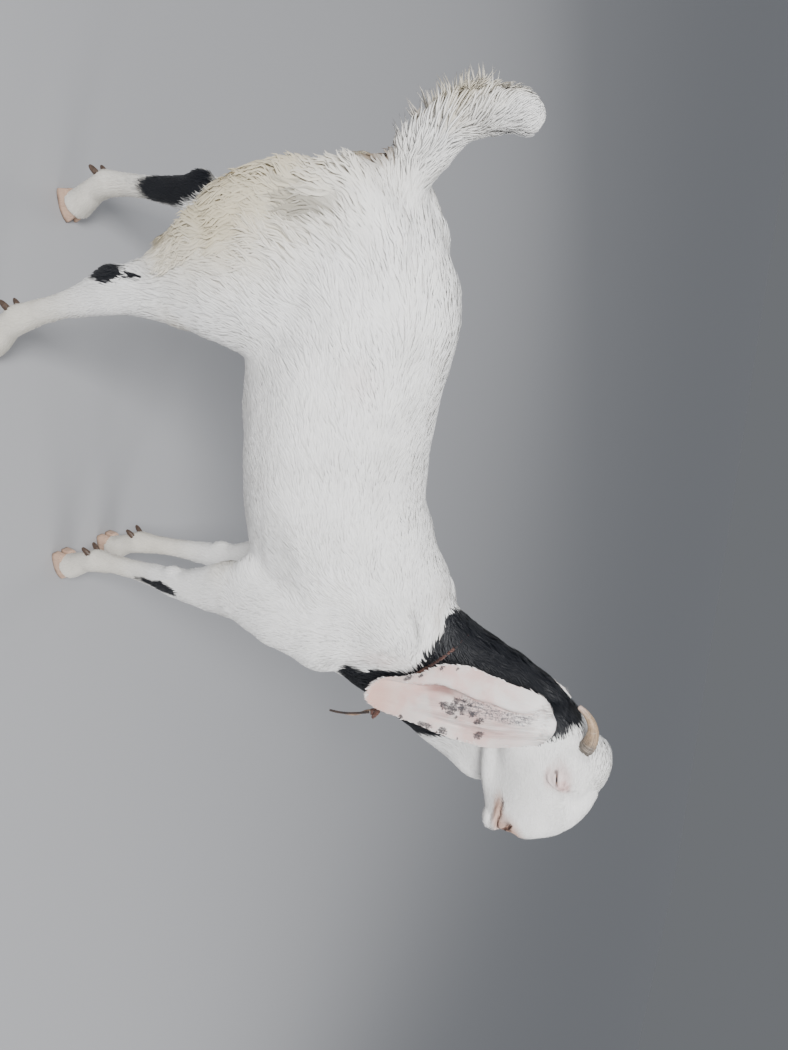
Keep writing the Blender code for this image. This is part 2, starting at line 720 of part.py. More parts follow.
def mirror_in_head(thing):
    to_head = Matrix.Rotation(-HEAD_TURN, 4, "Z") @ Matrix.Translation(-HEAD_PLACE)
    flip = Matrix.Diagonal((1, -1, 1, 1))
    thing.data.transform(to_head.inverted() @ flip @ to_head)
    thing.data.flip_normals()


# Horns: short, ringed at the base, swept back.


def horn(name, side, grow=0.0, count=len(HORN)):
    drop = 0.010 if side > 0 else 0.0
    stations = []
    for x, y, z, size in HORN[:count]:
        stations.append((*head_point(x, side * y, z - drop), size + grow, size * 0.9 + grow))
    for end, inner in ((0, 1), (-1, -2)):
        place, inward = Vector(stations[end][:3]), Vector(stations[inner][:3])
        stations[end] = (*(place + (place - inward).normalized() * grow), *stations[end][3:])
    return limb(name, stations, across=Vector((0, 0, 1)), sides=12)


# Hooves: two claws a foot, with flat soles, under a sloping coronet.


def claw(name, foot_x, foot_y, side):
    """One claw: its outer side bulges, its inner side is nearly flat."""
    rings = []
    for level in (0.0, 0.3, 1.0):
        ring = []
        shrink = 1.0 - 0.10 * level if level > 0.1 else 0.97
        outline = [(x, w) for x, w in SOLE] + [(x, -0.55 * w) for x, w in SOLE[::-1]]
        for x, w in outline:
            px = x * shrink - 0.0125 * level * (x + 0.027) / 0.06
            py = side * (CLAW_GAP / 2 + 0.0075 + w * shrink)
            z = level * (CORONET_HEIGHT + CORONET_SLOPE * px - GAP)
            ring.append(Vector((foot_x + px, foot_y + py, z)))
        rings.append(ring)
    return mesh_object(name, rings)


def dewclaw(name, stations, side, grow=0.0):
    """A small blunt horn behind the fetlock, its root sunk in the leg."""
    x, y, z, deep, wide = stations[12]
    path = []
    for k, size in enumerate((0.9, 1.0, 0.9, 0.55)):
        t = k / 3
        path.append((x - deep * 0.55 - 0.016 * t, y + side * (0.0100 + 0.003 * t), z - 0.006 - 0.014 * t,
                     DEWCLAW_SIZE * size + grow, DEWCLAW_SIZE * size * 0.85 + grow))
    first = path[0]
    path[0] = (first[0] + grow, *first[1:])
    return limb(name, path, sides=6)


# The collar: a thin cord round the foot of the neck, with a knot and two loose ends.


def collar_route(host, count=40):
    """Points round the neck in the collar's slanting plane, a cord's radius off the skin."""
    mesh = bmesh.new()
    mesh.from_mesh(host.data)
    tree = BVHTree.FromBMesh(mesh)
    middle = (COLLAR_BACK + COLLAR_FRONT) / 2
    middle.y = -0.006
    down = (COLLAR_FRONT - COLLAR_BACK).normalized()
    side = Vector((0, 1, 0))
    reach = []
    for k in range(count):
        turn = 2 * math.pi * k / count
        ray = down * math.cos(turn) + side * math.sin(turn)
        hub = middle + COLLAR_SAG * math.sin(turn) ** 2
        hit, _, _, distance = tree.ray_cast(hub + ray * 0.4, -ray, 0.4)
        reach.append((hub, ray, 0.4 - distance))
    mesh.free()
    points = []
    for k, (hub, ray, _) in enumerate(reach):
        near = [reach[(k + j) % count][2] for j in (-1, 0, 1)]
        points.append(hub + ray * (max(near) + COLLAR_RADIUS + 0.0012))
    return points


def ring_tube(name, points, radius, sides=6):
    """A closed ring of cord."""
    mesh = bmesh.new()
    count = len(points)
    middle = sum(points, Vector()) / count
    loops = []
    for i, point in enumerate(points):
        along = (points[(i + 1) % count] - points[i - 1]).normalized()
        out = (point - middle)
        out = (out - along * out.dot(along)).normalized()
        up = along.cross(out)
        loops.append([mesh.verts.new(point + radius * (out * math.cos(2 * math.pi * k / sides)
                                                       + up * math.sin(2 * math.pi * k / sides)))
                      for k in range(sides)])
    for i in range(count):
        low, high = loops[i], loops[(i + 1) % count]
        for k in range(sides):
            j = (k + 1) % sides
            mesh.faces.new((low[k], low[j], high[j], high[k]))
    bmesh.ops.recalc_face_normals(mesh, faces=mesh.faces)
    data = bpy.data.meshes.new(name)
    mesh.to_mesh(data)
    mesh.free()
    thing = bpy.data.objects.new(name, data)
    bpy.context.scene.collection.objects.link(thing)
    return thing


def smooth_route(points, step):
    """Points at even steps along a smooth curve through the route's own points."""
    ends = [points[0] * 2 - points[1]] + points + [points[-1] * 2 - points[-2]]
    fine = []
    for i in range(1, len(ends) - 2):
        a, b, c, d = ends[i - 1:i + 3]
        for k in range(24):
            t = k / 24
            fine.append(0.5 * (2 * b + (c - a) * t + (2 * a - 5 * b + 4 * c - d) * t ** 2
                               + (3 * b - 3 * c + d - a) * t ** 3))
    fine.append(ends[-2])
    lengths = [0.0]
    for a, b in zip(fine, fine[1:]):
        lengths.append(lengths[-1] + (b - a).length)
    count = max(3, round(lengths[-1] / step))
    spread = []
    for k in range(count + 1):
        goal = lengths[-1] * k / count
        i = min(max(j for j, l in enumerate(lengths) if l <= goal + 1e-9), len(fine) - 2)
        f = (goal - lengths[i]) / (lengths[i + 1] - lengths[i])
        spread.append(fine[i].lerp(fine[i + 1], min(1.0, f)))
    return spread


def cord(name, route):
    curve = bpy.data.curves.new(name, "CURVE")
    curve.dimensions = "3D"
    curve.bevel_depth = CORD_RADIUS
    curve.bevel_resolution = 2
    curve.use_fill_caps = True
    spline = curve.splines.new("POLY")
    points = smooth_route(route, 5 * CORD_RADIUS)
    spline.points.add(len(points) - 1)
    for place, point in zip(spline.points, points):
        place.co = (*point, 1)
    thing = bpy.data.objects.new(name, curve)
    bpy.context.scene.collection.objects.link(thing)
    return thing


# Locks: flat, tapered and bending, with four sides and a pointed tip.


def lock(root, way, lie, face, length, width, thick, wave):
    """A lock from just under the skin: it sets out one way, bends to its lie and waves
    sideways, and its flat side faces the given way."""
    point = root - way * LOCK_SINK
    rings = []
    steps = len(LOCK_TAPER) - 1
    for k, (broad, full) in enumerate(LOCK_TAPER):
        t = k / steps
        along = way.lerp(lie, min(1.0, 0.2 + 1.1 * t)).normalized()
        side = along.cross(face).normalized()
        flat = side.cross(along).normalized()
        wide, deep = side * (width * broad / 2), flat * (thick * full / 2)
        rings.append([point + wide, point + deep, point - wide, point - deep])
        swing = side * (wave * math.cos(math.tau * (t - 0.1)))
        point = point + along * ((length + LOCK_SINK) / (steps + 0.7)) + swing
    return mesh_object("lock", rings, tip=point)


# Cuts


def leg_frame(leg):
    """The cut's low point, its way up and its way out."""
    _, _, low, high, side = LEG_CUTS[leg]
    up = Vector((0, side * (high[0] - low[0]), high[1] - low[1])).normalized()
    out = Vector((0, side * up.z, -abs(up.y)))
    return Vector((0, side * low[0], low[1])), up, out


def leg_tool(leg, grow):
    x_low, x_high = LEG_CUTS[leg][:2]
    low, up, out = leg_frame(leg)
    turn = Matrix(((LEG_CUTS[leg][4], 0, 0), (0, out.y, up.y), (0, out.z, up.z)))
    centre = low + out * (0.2 - grow / 2) + up * -0.06 + Vector(((x_low + x_high) / 2, 0, 0))
    return box_tool("leg_tool", centre, (x_high - x_low + 2 * grow, 0.4 + grow, 0.9), turn)


def inside_leg(point, leg, margin):
    x_low, x_high = LEG_CUTS[leg][:2]
    low, _, out = leg_frame(leg)
    deep = (point - low).dot(out)
    return deep > margin and x_low + margin < point.x < x_high - margin


def beyond(point, cut, margin):
    return (point - cut[0]).dot(cut[1]) > margin


def plane_side(thing, cut, sign, gap=0.0):
    point, normal = cut
    return keep_side(thing, point + normal * sign * gap, normal * sign)


# Locks of the tail's fringe and of the breeches


def surface_tree(thing):
    mesh = bmesh.new()
    mesh.from_mesh(thing.data)
    tree = BVHTree.FromBMesh(mesh)
    mesh.free()
    return tree


def tail_locks(tail, draw):
    """Locks from the sides and the back of the tail, whose tips end on one hanging edge."""
    tree = surface_tree(tail)
    locks = []
    for level in range(TAIL_LEVELS):
        t = level / (TAIL_LEVELS - 1)
        axis = FRINGE_AXIS[0].lerp(FRINGE_AXIS[1], t)
        for k in range(TAIL_COLUMNS):
            turn = FRINGE_SPREAD * (2 * (k + 0.5 * (level % 2)) / (TAIL_COLUMNS - 0.5) - 1)
            turn += draw.uniform(-0.08, 0.08)
            out = Vector((-math.cos(turn), math.sin(turn), -0.15)).normalized()
            hit, normal, _, _ = tree.ray_cast(axis + out * 0.15, -out, 0.15)
            if hit is None:
                continue
            edge = FRINGE_EDGE[0].lerp(FRINGE_EDGE[1], t) + Vector((0, 0.014 * math.sin(turn), 0))
            reach = edge - hit
            way = (normal * 0.5 + reach.normalized() * 0.5 + Vector((0, 0, 0.35 * t))).normalized()
            length = reach.length * (1 - 0.28 * abs(math.sin(turn))) * draw.uniform(0.86, 1.04)
            width, wave = draw.uniform(*FRINGE_WIDTH), draw.uniform(-LOCK_WAVE, LOCK_WAVE)
            face = Vector((0, 1, 0)) + normal * 0.3
            locks.append(lock(hit, way, reach.normalized(), face, length, width, FRINGE_THICK, wave))
    return locks


def breech_locks(thigh, leg, draw):
    """Wavy locks over the back of a thigh, which follow it down to the hock."""
    side = LEG_CUTS[leg][4]
    stations = LEG_STATIONS[leg]
    tree = surface_tree(thigh)
    locks = []
    for level in range(BREECH_LEVELS):
        t = level / (BREECH_LEVELS - 1)
        z = BREECH_TOP + (BREECH_FOOT - BREECH_TOP) * t
        above = [s for s in stations if s[2] >= z][-1]
        below = [s for s in stations if s[2] <= z][0]
        f = (above[2] - z) / max(above[2] - below[2], 1e-6)
        axis = Vector(above[:3]).lerp(Vector(below[:3]), f)
        for k in range(BREECH_COLUMNS):
            share = (k + 0.5 * (level % 2)) / (BREECH_COLUMNS - 0.5)
            turn = BREECH_INNER + (BREECH_OUTER - BREECH_INNER) * share
            turn += draw.uniform(-0.06, 0.06)
            out = Vector((-math.cos(turn), side * math.sin(turn), 0))
            start = axis + out * 0.25 + Vector((0, 0, draw.uniform(-0.008, 0.008)))
            hit, normal, _, _ = tree.ray_cast(start, -out, 0.25)
            if hit is None or not inside_leg(hit, leg, 0.010):
                continue
            down = Vector((draw.uniform(-0.15, 0.15), 0, -1))
            down = (down - normal * down.dot(normal)).normalized()
            behind = max(0.0, math.cos(turn))
            way = (normal * (0.35 + 0.30 * behind) + down * 0.75).normalized()
            lie = (down + normal * (0.02 + 0.12 * behind)).normalized()
            length = draw.uniform(*BREECH_LENGTH) * (1 - 0.25 * t)
            width, wave = draw.uniform(*BREECH_WIDTH), draw.uniform(-LOCK_WAVE, LOCK_WAVE)
            piece = lock(hit, way, lie, normal, length, width, BREECH_THICK, wave)
            clear = all(inside_leg(v.co, leg, 0.0006) and v.co.z > HOCK_CUT_HEIGHT + 0.001
                        for v in piece.data.vertices)
            if clear:
                locks.append(piece)
            else:
                remove(piece)
    return locks


def make_material(name, colour, roughness):
    material = bpy.data.materials.new(name)
    material.use_nodes = True
    shader = material.node_tree.nodes["Principled BSDF"]
    shader.inputs["Base Color"].default_value = (*colour, 1)
    shader.inputs["Roughness"].default_value = roughness
    return material


def finish_node(thing, name, material, smooth=True):
    thing.name = name
    thing.data.name = name
    thing.data.materials.clear()
    thing.data.materials.append(make_material(name, *material))
    if smooth and thing.type == "MESH":
        thing.data.shade_smooth()
        thing.data.set_sharp_from_angle(angle=math.radians(40))
    for group in list(thing.users_collection):
        group.objects.unlink(thing)
    goat.objects.link(thing)
    return thing


for old in list(bpy.data.objects):
    bpy.data.objects.remove(old)
goat = bpy.data.collections.new("sojat_goat")
bpy.context.scene.collection.children.link(goat)
draw = random.Random(11)
skin = flesh()

torso = thin_out(copy_of(skin, "torso"), TRIANGLES["torso"])
plane_side(torso, NECK_CUT, -1)
plane_side(torso, TAIL_CUT, -1)
for leg in LEG_CUTS:
    boolean(torso, leg_tool(leg, 0.0), "DIFFERENCE")
finish_node(largest_only(torso), "torso", COAT)

neck_node = copy_of(skin, "neck")
plane_side(neck_node, (NECK_CUT[0] - NECK_CUT[1] * 0.02, NECK_CUT[1]), 1)
plane_side(neck_node, (HEAD_CUT[0] + HEAD_CUT[1] * 0.02, HEAD_CUT[1]), -1)
thin_out(neck_node, TRIANGLES["neck"])
plane_side(neck_node, NECK_CUT, 1, GAP)
plane_side(neck_node, HEAD_CUT, -1, GAP)
finish_node(largest_only(neck_node), "neck", BLACK_COAT)

head = copy_of(skin, "head")
plane_side(head, (HEAD_CUT[0] - HEAD_CUT[1] * 0.02, HEAD_CUT[1]), 1)
thin_out(head, TRIANGLES["head"])
plane_side(head, HEAD_CUT, 1)
boolean(head, mouth_tool(), "DIFFERENCE")
for name, side in (("right", -1), ("left", 1)):
    boolean(head, nostril_tool(side), "DIFFERENCE")
    boolean(head, slit_tool(side), "DIFFERENCE")
    eye = ball("eye_" + name, head_point(EYE.x, side * EYE.y, EYE.z), (EYE_RADIUS,) * 3, segments=12)
    socket = ball("socket", head_point(EYE.x, side * EYE.y, EYE.z), (EYE_RADIUS + GAP,) * 3, segments=12)
    boolean(head, socket, "DIFFERENCE")
    finish_node(eye, "eye_" + name, EYE_DARK)
    boolean(head, ear("socket", side, EAR_SUNK_ROWS, SOCKET_GAP), "DIFFERENCE")
    finish_node(ear("ear", side), "ear_" + name, PINK)
    count = HORN_STUB if side > 0 else len(HORN)
    boolean(head, horn("socket", side, SOCKET_GAP, count), "DIFFERENCE")
    finish_node(horn("horn", side, 0.0, count), "horn_" + name, HORN_GREY)
finish_node(largest_only(head), "head", COAT)

tail = copy_of(skin, "tail")
plane_side(tail, (TAIL_CUT[0] - TAIL_CUT[1] * 0.02, TAIL_CUT[1]), 1)
thin_out(tail, TRIANGLES["tail"])
plane_side(tail, TAIL_CUT, 1, GAP)
pieces = []
for piece in tail_locks(tail, draw):
    if all(beyond(v.co, TAIL_CUT, 0.0006) for v in piece.data.vertices):
        pieces.append(piece)
    else:
        remove(piece)
join_all(tail, pieces)
finish_node(largest_only(tail), "tail", CREAM, smooth=False)

for leg, stations in LEG_STATIONS.items():
    foot_x, foot_y = FEET[leg]
    coronet = (Vector((foot_x, 0, CORONET_HEIGHT)), Vector((-CORONET_SLOPE, 0, 1)).normalized())
    whole = copy_of(skin, leg)
    keep_side(whole, Vector((LEG_CUTS[leg][0] - 0.02, 0, 0)), Vector((1, 0, 0)))
    keep_side(whole, Vector((LEG_CUTS[leg][1] + 0.02, 0, 0)), Vector((-1, 0, 0)))
    keep_side(whole, Vector(), Vector((0, LEG_CUTS[leg][4], 0)))
    hind = leg.startswith("hind")
    thin_out(whole, TRIANGLES["hind" if hind else "fore"])
    boolean(whole, leg_tool(leg, -GAP), "INTERSECT")
    largest_only(whole)
    plane_side(whole, coronet, 1, GAP)
    if hind:
        thigh = copy_of(whole, "thigh")
        keep_side(thigh, Vector((0, 0, HOCK_CUT_HEIGHT + GAP)), Vector((0, 0, 1)))
        keep_side(whole, Vector((0, 0, HOCK_CUT_HEIGHT)), Vector((0, 0, -1)))
        join_all(thigh, breech_locks(thigh, leg, draw))
        finish_node(largest_only(thigh), "thigh_" + leg[5:], CREAM, smooth=False)
    for k, side in enumerate((-1, 1)):
        boolean(whole, dewclaw("socket", stations, side, GAP), "DIFFERENCE")
        end = "outer" if side == LEG_CUTS[leg][4] else "inner"
        finish_node(dewclaw("dewclaw", stations, side), f"dewclaw_{leg}_{end}", HOOF_BROWN)
        finish_node(claw("claw", foot_x, foot_y, side), f"claw_{leg}_{end}", HOOF_BROWN)
    finish_node(largest_only(whole), "shank_" + leg[5:] if hind else "foreleg_" + leg[5:], COAT)
remove(skin)

collar_points = collar_route(neck_node)
finish_node(ring_tube("collar", collar_points, COLLAR_RADIUS), "collar", LEATHER)
knot_seat = collar_points[KNOT_PLACE]
knot_way = (knot_seat - (COLLAR_BACK + COLLAR_FRONT) / 2).normalized()
knot_place = knot_seat + knot_way * (COLLAR_RADIUS + KNOT_RADII[1] + 3 * GAP)
finish_node(ball("knot", knot_place, KNOT_RADII, segments=12), "collar_knot", LEATHER)
for name, bends in (("cord_dark", DARK_END), ("cord_tan", TAN_END)):
    start = knot_place + Vector((0, bends[0][1], -KNOT_RADII[2] - GAP))
    route = [start + Vector(step) - Vector((0, bends[0][1], 0)) for step in bends]
    finish_node(cord(name, route), name, LEATHER)

solids = [thing for thing in goat.objects if thing.type == "MESH"]
corners = [vertex.co for thing in solids for vertex in thing.data.vertices]
ends = [(min(c[i] for c in corners), max(c[i] for c in corners)) for i in range(2)]
middle = Vector((sum(ends[0]) / 2, sum(ends[1]) / 2, 0))
for thing in goat.objects:
    thing.data.transform(Matrix.Translation(-middle))
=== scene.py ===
"""A Sojat goat standing with its tail raised, life size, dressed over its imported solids."""
import json
import math

import bmesh
import bpy
import numpy as np
from mathutils import Euler, Matrix, Vector
from mathutils.bvhtree import BVHTree

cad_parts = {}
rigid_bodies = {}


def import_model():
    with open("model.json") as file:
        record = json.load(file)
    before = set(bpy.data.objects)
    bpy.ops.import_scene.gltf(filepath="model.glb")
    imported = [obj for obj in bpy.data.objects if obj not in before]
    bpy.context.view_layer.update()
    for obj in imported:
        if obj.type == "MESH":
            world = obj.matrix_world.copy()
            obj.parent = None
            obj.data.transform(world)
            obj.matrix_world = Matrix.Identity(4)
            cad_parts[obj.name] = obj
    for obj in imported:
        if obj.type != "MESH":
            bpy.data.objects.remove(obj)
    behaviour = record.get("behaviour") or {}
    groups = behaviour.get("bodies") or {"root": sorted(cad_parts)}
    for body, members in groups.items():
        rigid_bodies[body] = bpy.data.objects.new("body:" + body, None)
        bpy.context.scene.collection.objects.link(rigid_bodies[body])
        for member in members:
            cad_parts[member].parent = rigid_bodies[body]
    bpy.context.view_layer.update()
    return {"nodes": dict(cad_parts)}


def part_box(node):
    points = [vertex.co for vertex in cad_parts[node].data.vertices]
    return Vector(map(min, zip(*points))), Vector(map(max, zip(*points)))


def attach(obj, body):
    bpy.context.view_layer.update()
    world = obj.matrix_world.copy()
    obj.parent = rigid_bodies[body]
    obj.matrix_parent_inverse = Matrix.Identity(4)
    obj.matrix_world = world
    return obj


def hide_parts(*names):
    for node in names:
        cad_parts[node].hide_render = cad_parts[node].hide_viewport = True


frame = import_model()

# Where the goat stands, and the camera. The goat's forms are laid out from a point on the
# floor between its hind feet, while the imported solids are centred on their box: the right
# eye's node tells how far apart the two are. The camera is where the photo was taken from.
HEAD_PLACE = Vector((0.620, -0.045, 0.0))
HEAD_TURN = math.radians(-14.0)
EYE = Vector((0.047, 0.0395, 1.030))
CAMERA_PLACE = Vector((-0.0748, -0.9192, 1.2298))
CAMERA_RIGHT = Vector((0.033, 0.466, 0.8842))
CAMERA_TOP = Vector((-0.9225, 0.3546, -0.1524))
CAMERA_SENSOR = 36.0
CAMERA_LENS = 25.37
CAMERA_NEAR = 0.02


def link(thing):
    bpy.context.scene.collection.objects.link(thing)
    return thing


def to_object(name, mesh):
    """An object of a finished bmesh."""
    data = bpy.data.meshes.new(name)
    mesh.to_mesh(data)
    mesh.free()
    return link(bpy.data.objects.new(name, data))


def head_point(x, y, z):
    """A point of the head's own frame, which is turned to the goat's right."""
    return HEAD_PLACE + Matrix.Rotation(HEAD_TURN, 3, "Z") @ Vector((x, y, 0)) + Vector((0, 0, z))


eye_low, eye_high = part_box("eye_right")
MIDDLE = head_point(EYE.x, -EYE.y, EYE.z) - (Vector(eye_low) + Vector(eye_high)) / 2
MIDDLE.z = 0.0

camera_data = bpy.data.cameras.new("camera")
camera_data.sensor_width = CAMERA_SENSOR
camera_data.lens = CAMERA_LENS
camera_data.clip_start = CAMERA_NEAR
camera = link(bpy.data.objects.new("camera", camera_data))
to_back = CAMERA_RIGHT.cross(CAMERA_TOP).normalized()
to_top = to_back.cross(CAMERA_RIGHT).normalized()
camera_turn = Matrix((CAMERA_RIGHT.normalized(), to_top, to_back)).transposed()
camera.matrix_world = Matrix.Translation(CAMERA_PLACE - MIDDLE) @ camera_turn.to_4x4()
bpy.context.scene.camera = camera

# The floor and the light: a plain pale floor, one large soft lamp high on the camera's
# side, a weaker one from the head's side, and a pale sky that the camera sees as dim as
# the far floor.
FLOOR_REACH = 30
FLOOR_COLOUR = (0.33, 0.33, 0.34, 1)
FLOOR_ROUGHNESS = 0.8
SKY_COLOUR = (0.80, 0.84, 0.90, 1)
SKY_LIGHT = 0.50
SKY_SEEN = 0.20
sheet = bmesh.new()
bmesh.ops.create_grid(sheet, x_segments=1, y_segments=1, size=FLOOR_REACH)
floor = to_object("floor", sheet)
floor_paint = bpy.data.materials.new("pale floor")
floor_paint.use_nodes = True
floor_face = floor_paint.node_tree.nodes["Principled BSDF"]
floor_face.inputs["Base Color"].default_value = FLOOR_COLOUR
floor_face.inputs["Roughness"].default_value = FLOOR_ROUGHNESS
floor.data.materials.append(floor_paint)


def soft_lamp(name, place, aim, size, watts):
    data = bpy.data.lights.new(name, "AREA")
    data.size = size
    data.energy = watts
    lamp = link(bpy.data.objects.new(name, data))
    lamp.location = Vector(place)
    lamp.rotation_euler = (Vector(aim) - lamp.location).to_track_quat("-Z", "Y").to_euler()


soft_lamp("main_lamp", (-1.2, -2.2, 2.6), (0.0, 0.0, 0.6), 1.1, 170)
soft_lamp("head_lamp", (2.4, -1.0, 1.8), (0.1, 0.0, 0.7), 1.4, 45)
soft_lamp("back_lamp", (-0.8, 2.6, 2.2), (0.0, 0.0, 0.6), 1.6, 22)
sky = bpy.data.worlds.new("sky")
sky.use_nodes = True
air = sky.node_tree.nodes["Background"]
air.inputs["Color"].default_value = SKY_COLOUR
seen = sky.node_tree.nodes.new("ShaderNodeLightPath").outputs["Is Camera Ray"]
dimmed = sky.node_tree.nodes.new("ShaderNodeMapRange")
dimmed.inputs["To Min"].default_value = SKY_LIGHT
dimmed.inputs["To Max"].default_value = SKY_SEEN
sky.node_tree.links.new(seen, dimmed.inputs["Value"])
sky.node_tree.links.new(dimmed.outputs["Result"], air.inputs["Strength"])
bpy.context.scene.world = sky

# The collar and its loose ends: a reddish brown cord of three twisted plies round the foot
# of the neck, knotted under the throat. Geometry Nodes sweep the plies along each route.
COLLAR_BACK = Vector((0.500, 0.0, 0.874))
COLLAR_FRONT = Vector((0.698, 0.0, 0.694))
COLLAR_SAG = Vector((-0.7325, 0.0, -0.681)) * 0.012
COLLAR_RADIUS = 0.0030
COLLAR_SINK = 0.0035
COLLAR_MIDDLE_Y = -0.006
RAY_LENGTH = 0.4
CORD_RADIUS = 0.0022
KNOT_RADII = (0.0070, 0.0080, 0.0075)
GAP = 0.0003
# A ply's size as a share of the cord's, how many sides it has, its turns in a metre, and
# how far apart the rings are that it is swept through.
PLY_RADIUS = 0.52
PLY_SIDES = 10
PLY_TWIST = 62.0
PLY_STEP = 0.0016
# Each loose end as steps from under the knot.
DARK_END = ((0.0, -0.003, 0.0), (0.006, -0.005, -0.018), (0.012, -0.006, -0.038),
            (0.017, -0.005, -0.058), (0.020, -0.003, -0.076))
TAN_END = ((0.0, 0.003, 0.0), (0.007, 0.005, -0.012), (0.017, 0.007, -0.024), (0.024, 0.008, -0.038),
           (0.026, 0.007, -0.052))


def feed(tree, socket, value):
    """Gives a socket a constant, or links another node's output to it."""
    if isinstance(value, bpy.types.NodeSocket):
        tree.links.new(value, socket)
    else:
        socket.default_value = value


def node(tree, kind, sockets, **settings):
    """A new node's outputs, with values or other nodes' outputs fed to its sockets."""
    step = tree.nodes.new(kind)
    for label, value in settings.items():
        setattr(step, label, value)
    for label, value in sockets.items():
        feed(tree, step.inputs[label], value)
    return step.outputs


def calc(tree, operation, a, b=0.0):
    return node(tree, "ShaderNodeMath", {0: a, 1: b}, operation=operation)[0]


def mul(tree, a, b):
    return calc(tree, "MULTIPLY", a, b)


def add(tree, a, b):
    return calc(tree, "ADD", a, b)


def less(tree, a, b):
    """a less b."""
    return calc(tree, "SUBTRACT", a, b)


def shift(tree, operation, a, b=None):
    """The same for vectors."""
    sockets = {0: a} if b is None else {0: a, "Scale" if operation == "SCALE" else 1: b}
    made = node(tree, "ShaderNodeVectorMath", sockets, operation=operation)
    return made["Value"] if operation in ("LENGTH", "DOT_PRODUCT") else made[0]


def split(tree, vector):
    """A vector's x, y and z."""
    made = node(tree, "ShaderNodeSeparateXYZ", {0: vector})
    return made[0], made[1], made[2]


def merge(tree, x, y, z=0.0):
    return node(tree, "ShaderNodeCombineXYZ", {0: x, 1: y, 2: z})[0]


def climb(tree, value, low, high, start=0.0, end=1.0):
    """An eased step from start at low to end at high."""
    limits = {"Value": value, "From Min": low, "From Max": high, "To Min": start, "To Max": end}
    return node(tree, "ShaderNodeMapRange", limits, interpolation_type="SMOOTHSTEP")["Result"]


def grain(tree, place, scale, detail=3.0, roughness=0.55):
    """Noise."""
    sockets = {"Vector": place, "Scale": scale, "Detail": detail, "Roughness": roughness}
    return node(tree, "ShaderNodeTexNoise", sockets)[0]


def waver(tree, place, scale, detail=3.0):
    """Noise as a vector about nothing."""
    sockets = {"Vector": place, "Scale": scale, "Detail": detail, "Roughness": 0.55}
    return shift(tree, "SUBTRACT", node(tree, "ShaderNodeTexNoise", sockets)["Color"], (0.5, 0.5, 0.5))


def stretched(tree, place, by, detail=3.0, roughness=0.55):
    """Noise with its own scale along each axis."""
    return grain(tree, shift(tree, "MULTIPLY", place, by), 1.0, detail, roughness)


def tint(tree, share, under, over):
    return node(tree, "ShaderNodeMix", {0: share, 6: under, 7: over}, data_type="RGBA")[2]


def new_paint(name, roughness=0.7, sheen=0.0):
    paint = bpy.data.materials.new(name)
    paint.use_nodes = True
    face = paint.node_tree.nodes["Principled BSDF"]
    face.inputs["Roughness"].default_value = roughness
    face.inputs["Sheen Weight"].default_value = sheen
    return paint, paint.node_tree, face


def own_place(tree):
    return tree.nodes.new("ShaderNodeTexCoord").outputs["Object"]


def read_map(tree, name):
    return node(tree, "ShaderNodeAttribute", {}, attribute_name=name)["Vector"]


def dress(tree, face, colour=None, roughness=None, height=None, distance=0.001, strength=0.8):
    """Feeds a face its colour, its roughness and the height of its bumps."""
    if colour is not None:
        feed(tree, face.inputs["Base Color"], colour)
    if roughness is not None:
        feed(tree, face.inputs["Roughness"], roughness)
    if height is not None:
        bump = {"Strength": strength, "Distance": distance, "Height": height}
        feed(tree, face.inputs["Normal"], node(tree, "ShaderNodeBump", bump)[0])


def read_all(rows, name, width=3, kind=np.float32):
    values = np.empty(len(rows) * width, kind)
    rows.foreach_get(name, values)
    return values.reshape(-1, width)


def keep_map(data, name, values):
    """Keeps a vector for each point as a named attribute."""
    attribute = data.attributes.new(name, "FLOAT_VECTOR", "POINT")
    attribute.data.foreach_set("vector", np.array(values, np.float32).ravel())


def leather_paint(name, dark, pale):
    """Old cord: blotched darker and paler, with frayed pale fibres and a greasy shine."""
    paint, tree, face = new_paint(name, 0.6, 0.1)
    place = own_place(tree)
    fibres = stretched(tree, read_map(tree, "ply"), (5.0, 240.0, 1.0), 3.0, 0.6)
    patch_tone = grain(tree, place, 75, 3.0)
    colour = tint(tree, climb(tree, patch_tone, 0.35, 0.68), dark, pale)
    frayed = tuple(min(1, 1.7 * channel) for channel in pale)
    colour = tint(tree, climb(tree, fibres, 0.55, 0.72, 0.0, 0.5), colour, frayed)
    dress(tree, face, colour, climb(tree, patch_tone, 0.3, 0.7, 0.50, 0.72), fibres, 0.0004, 0.7)
    return paint


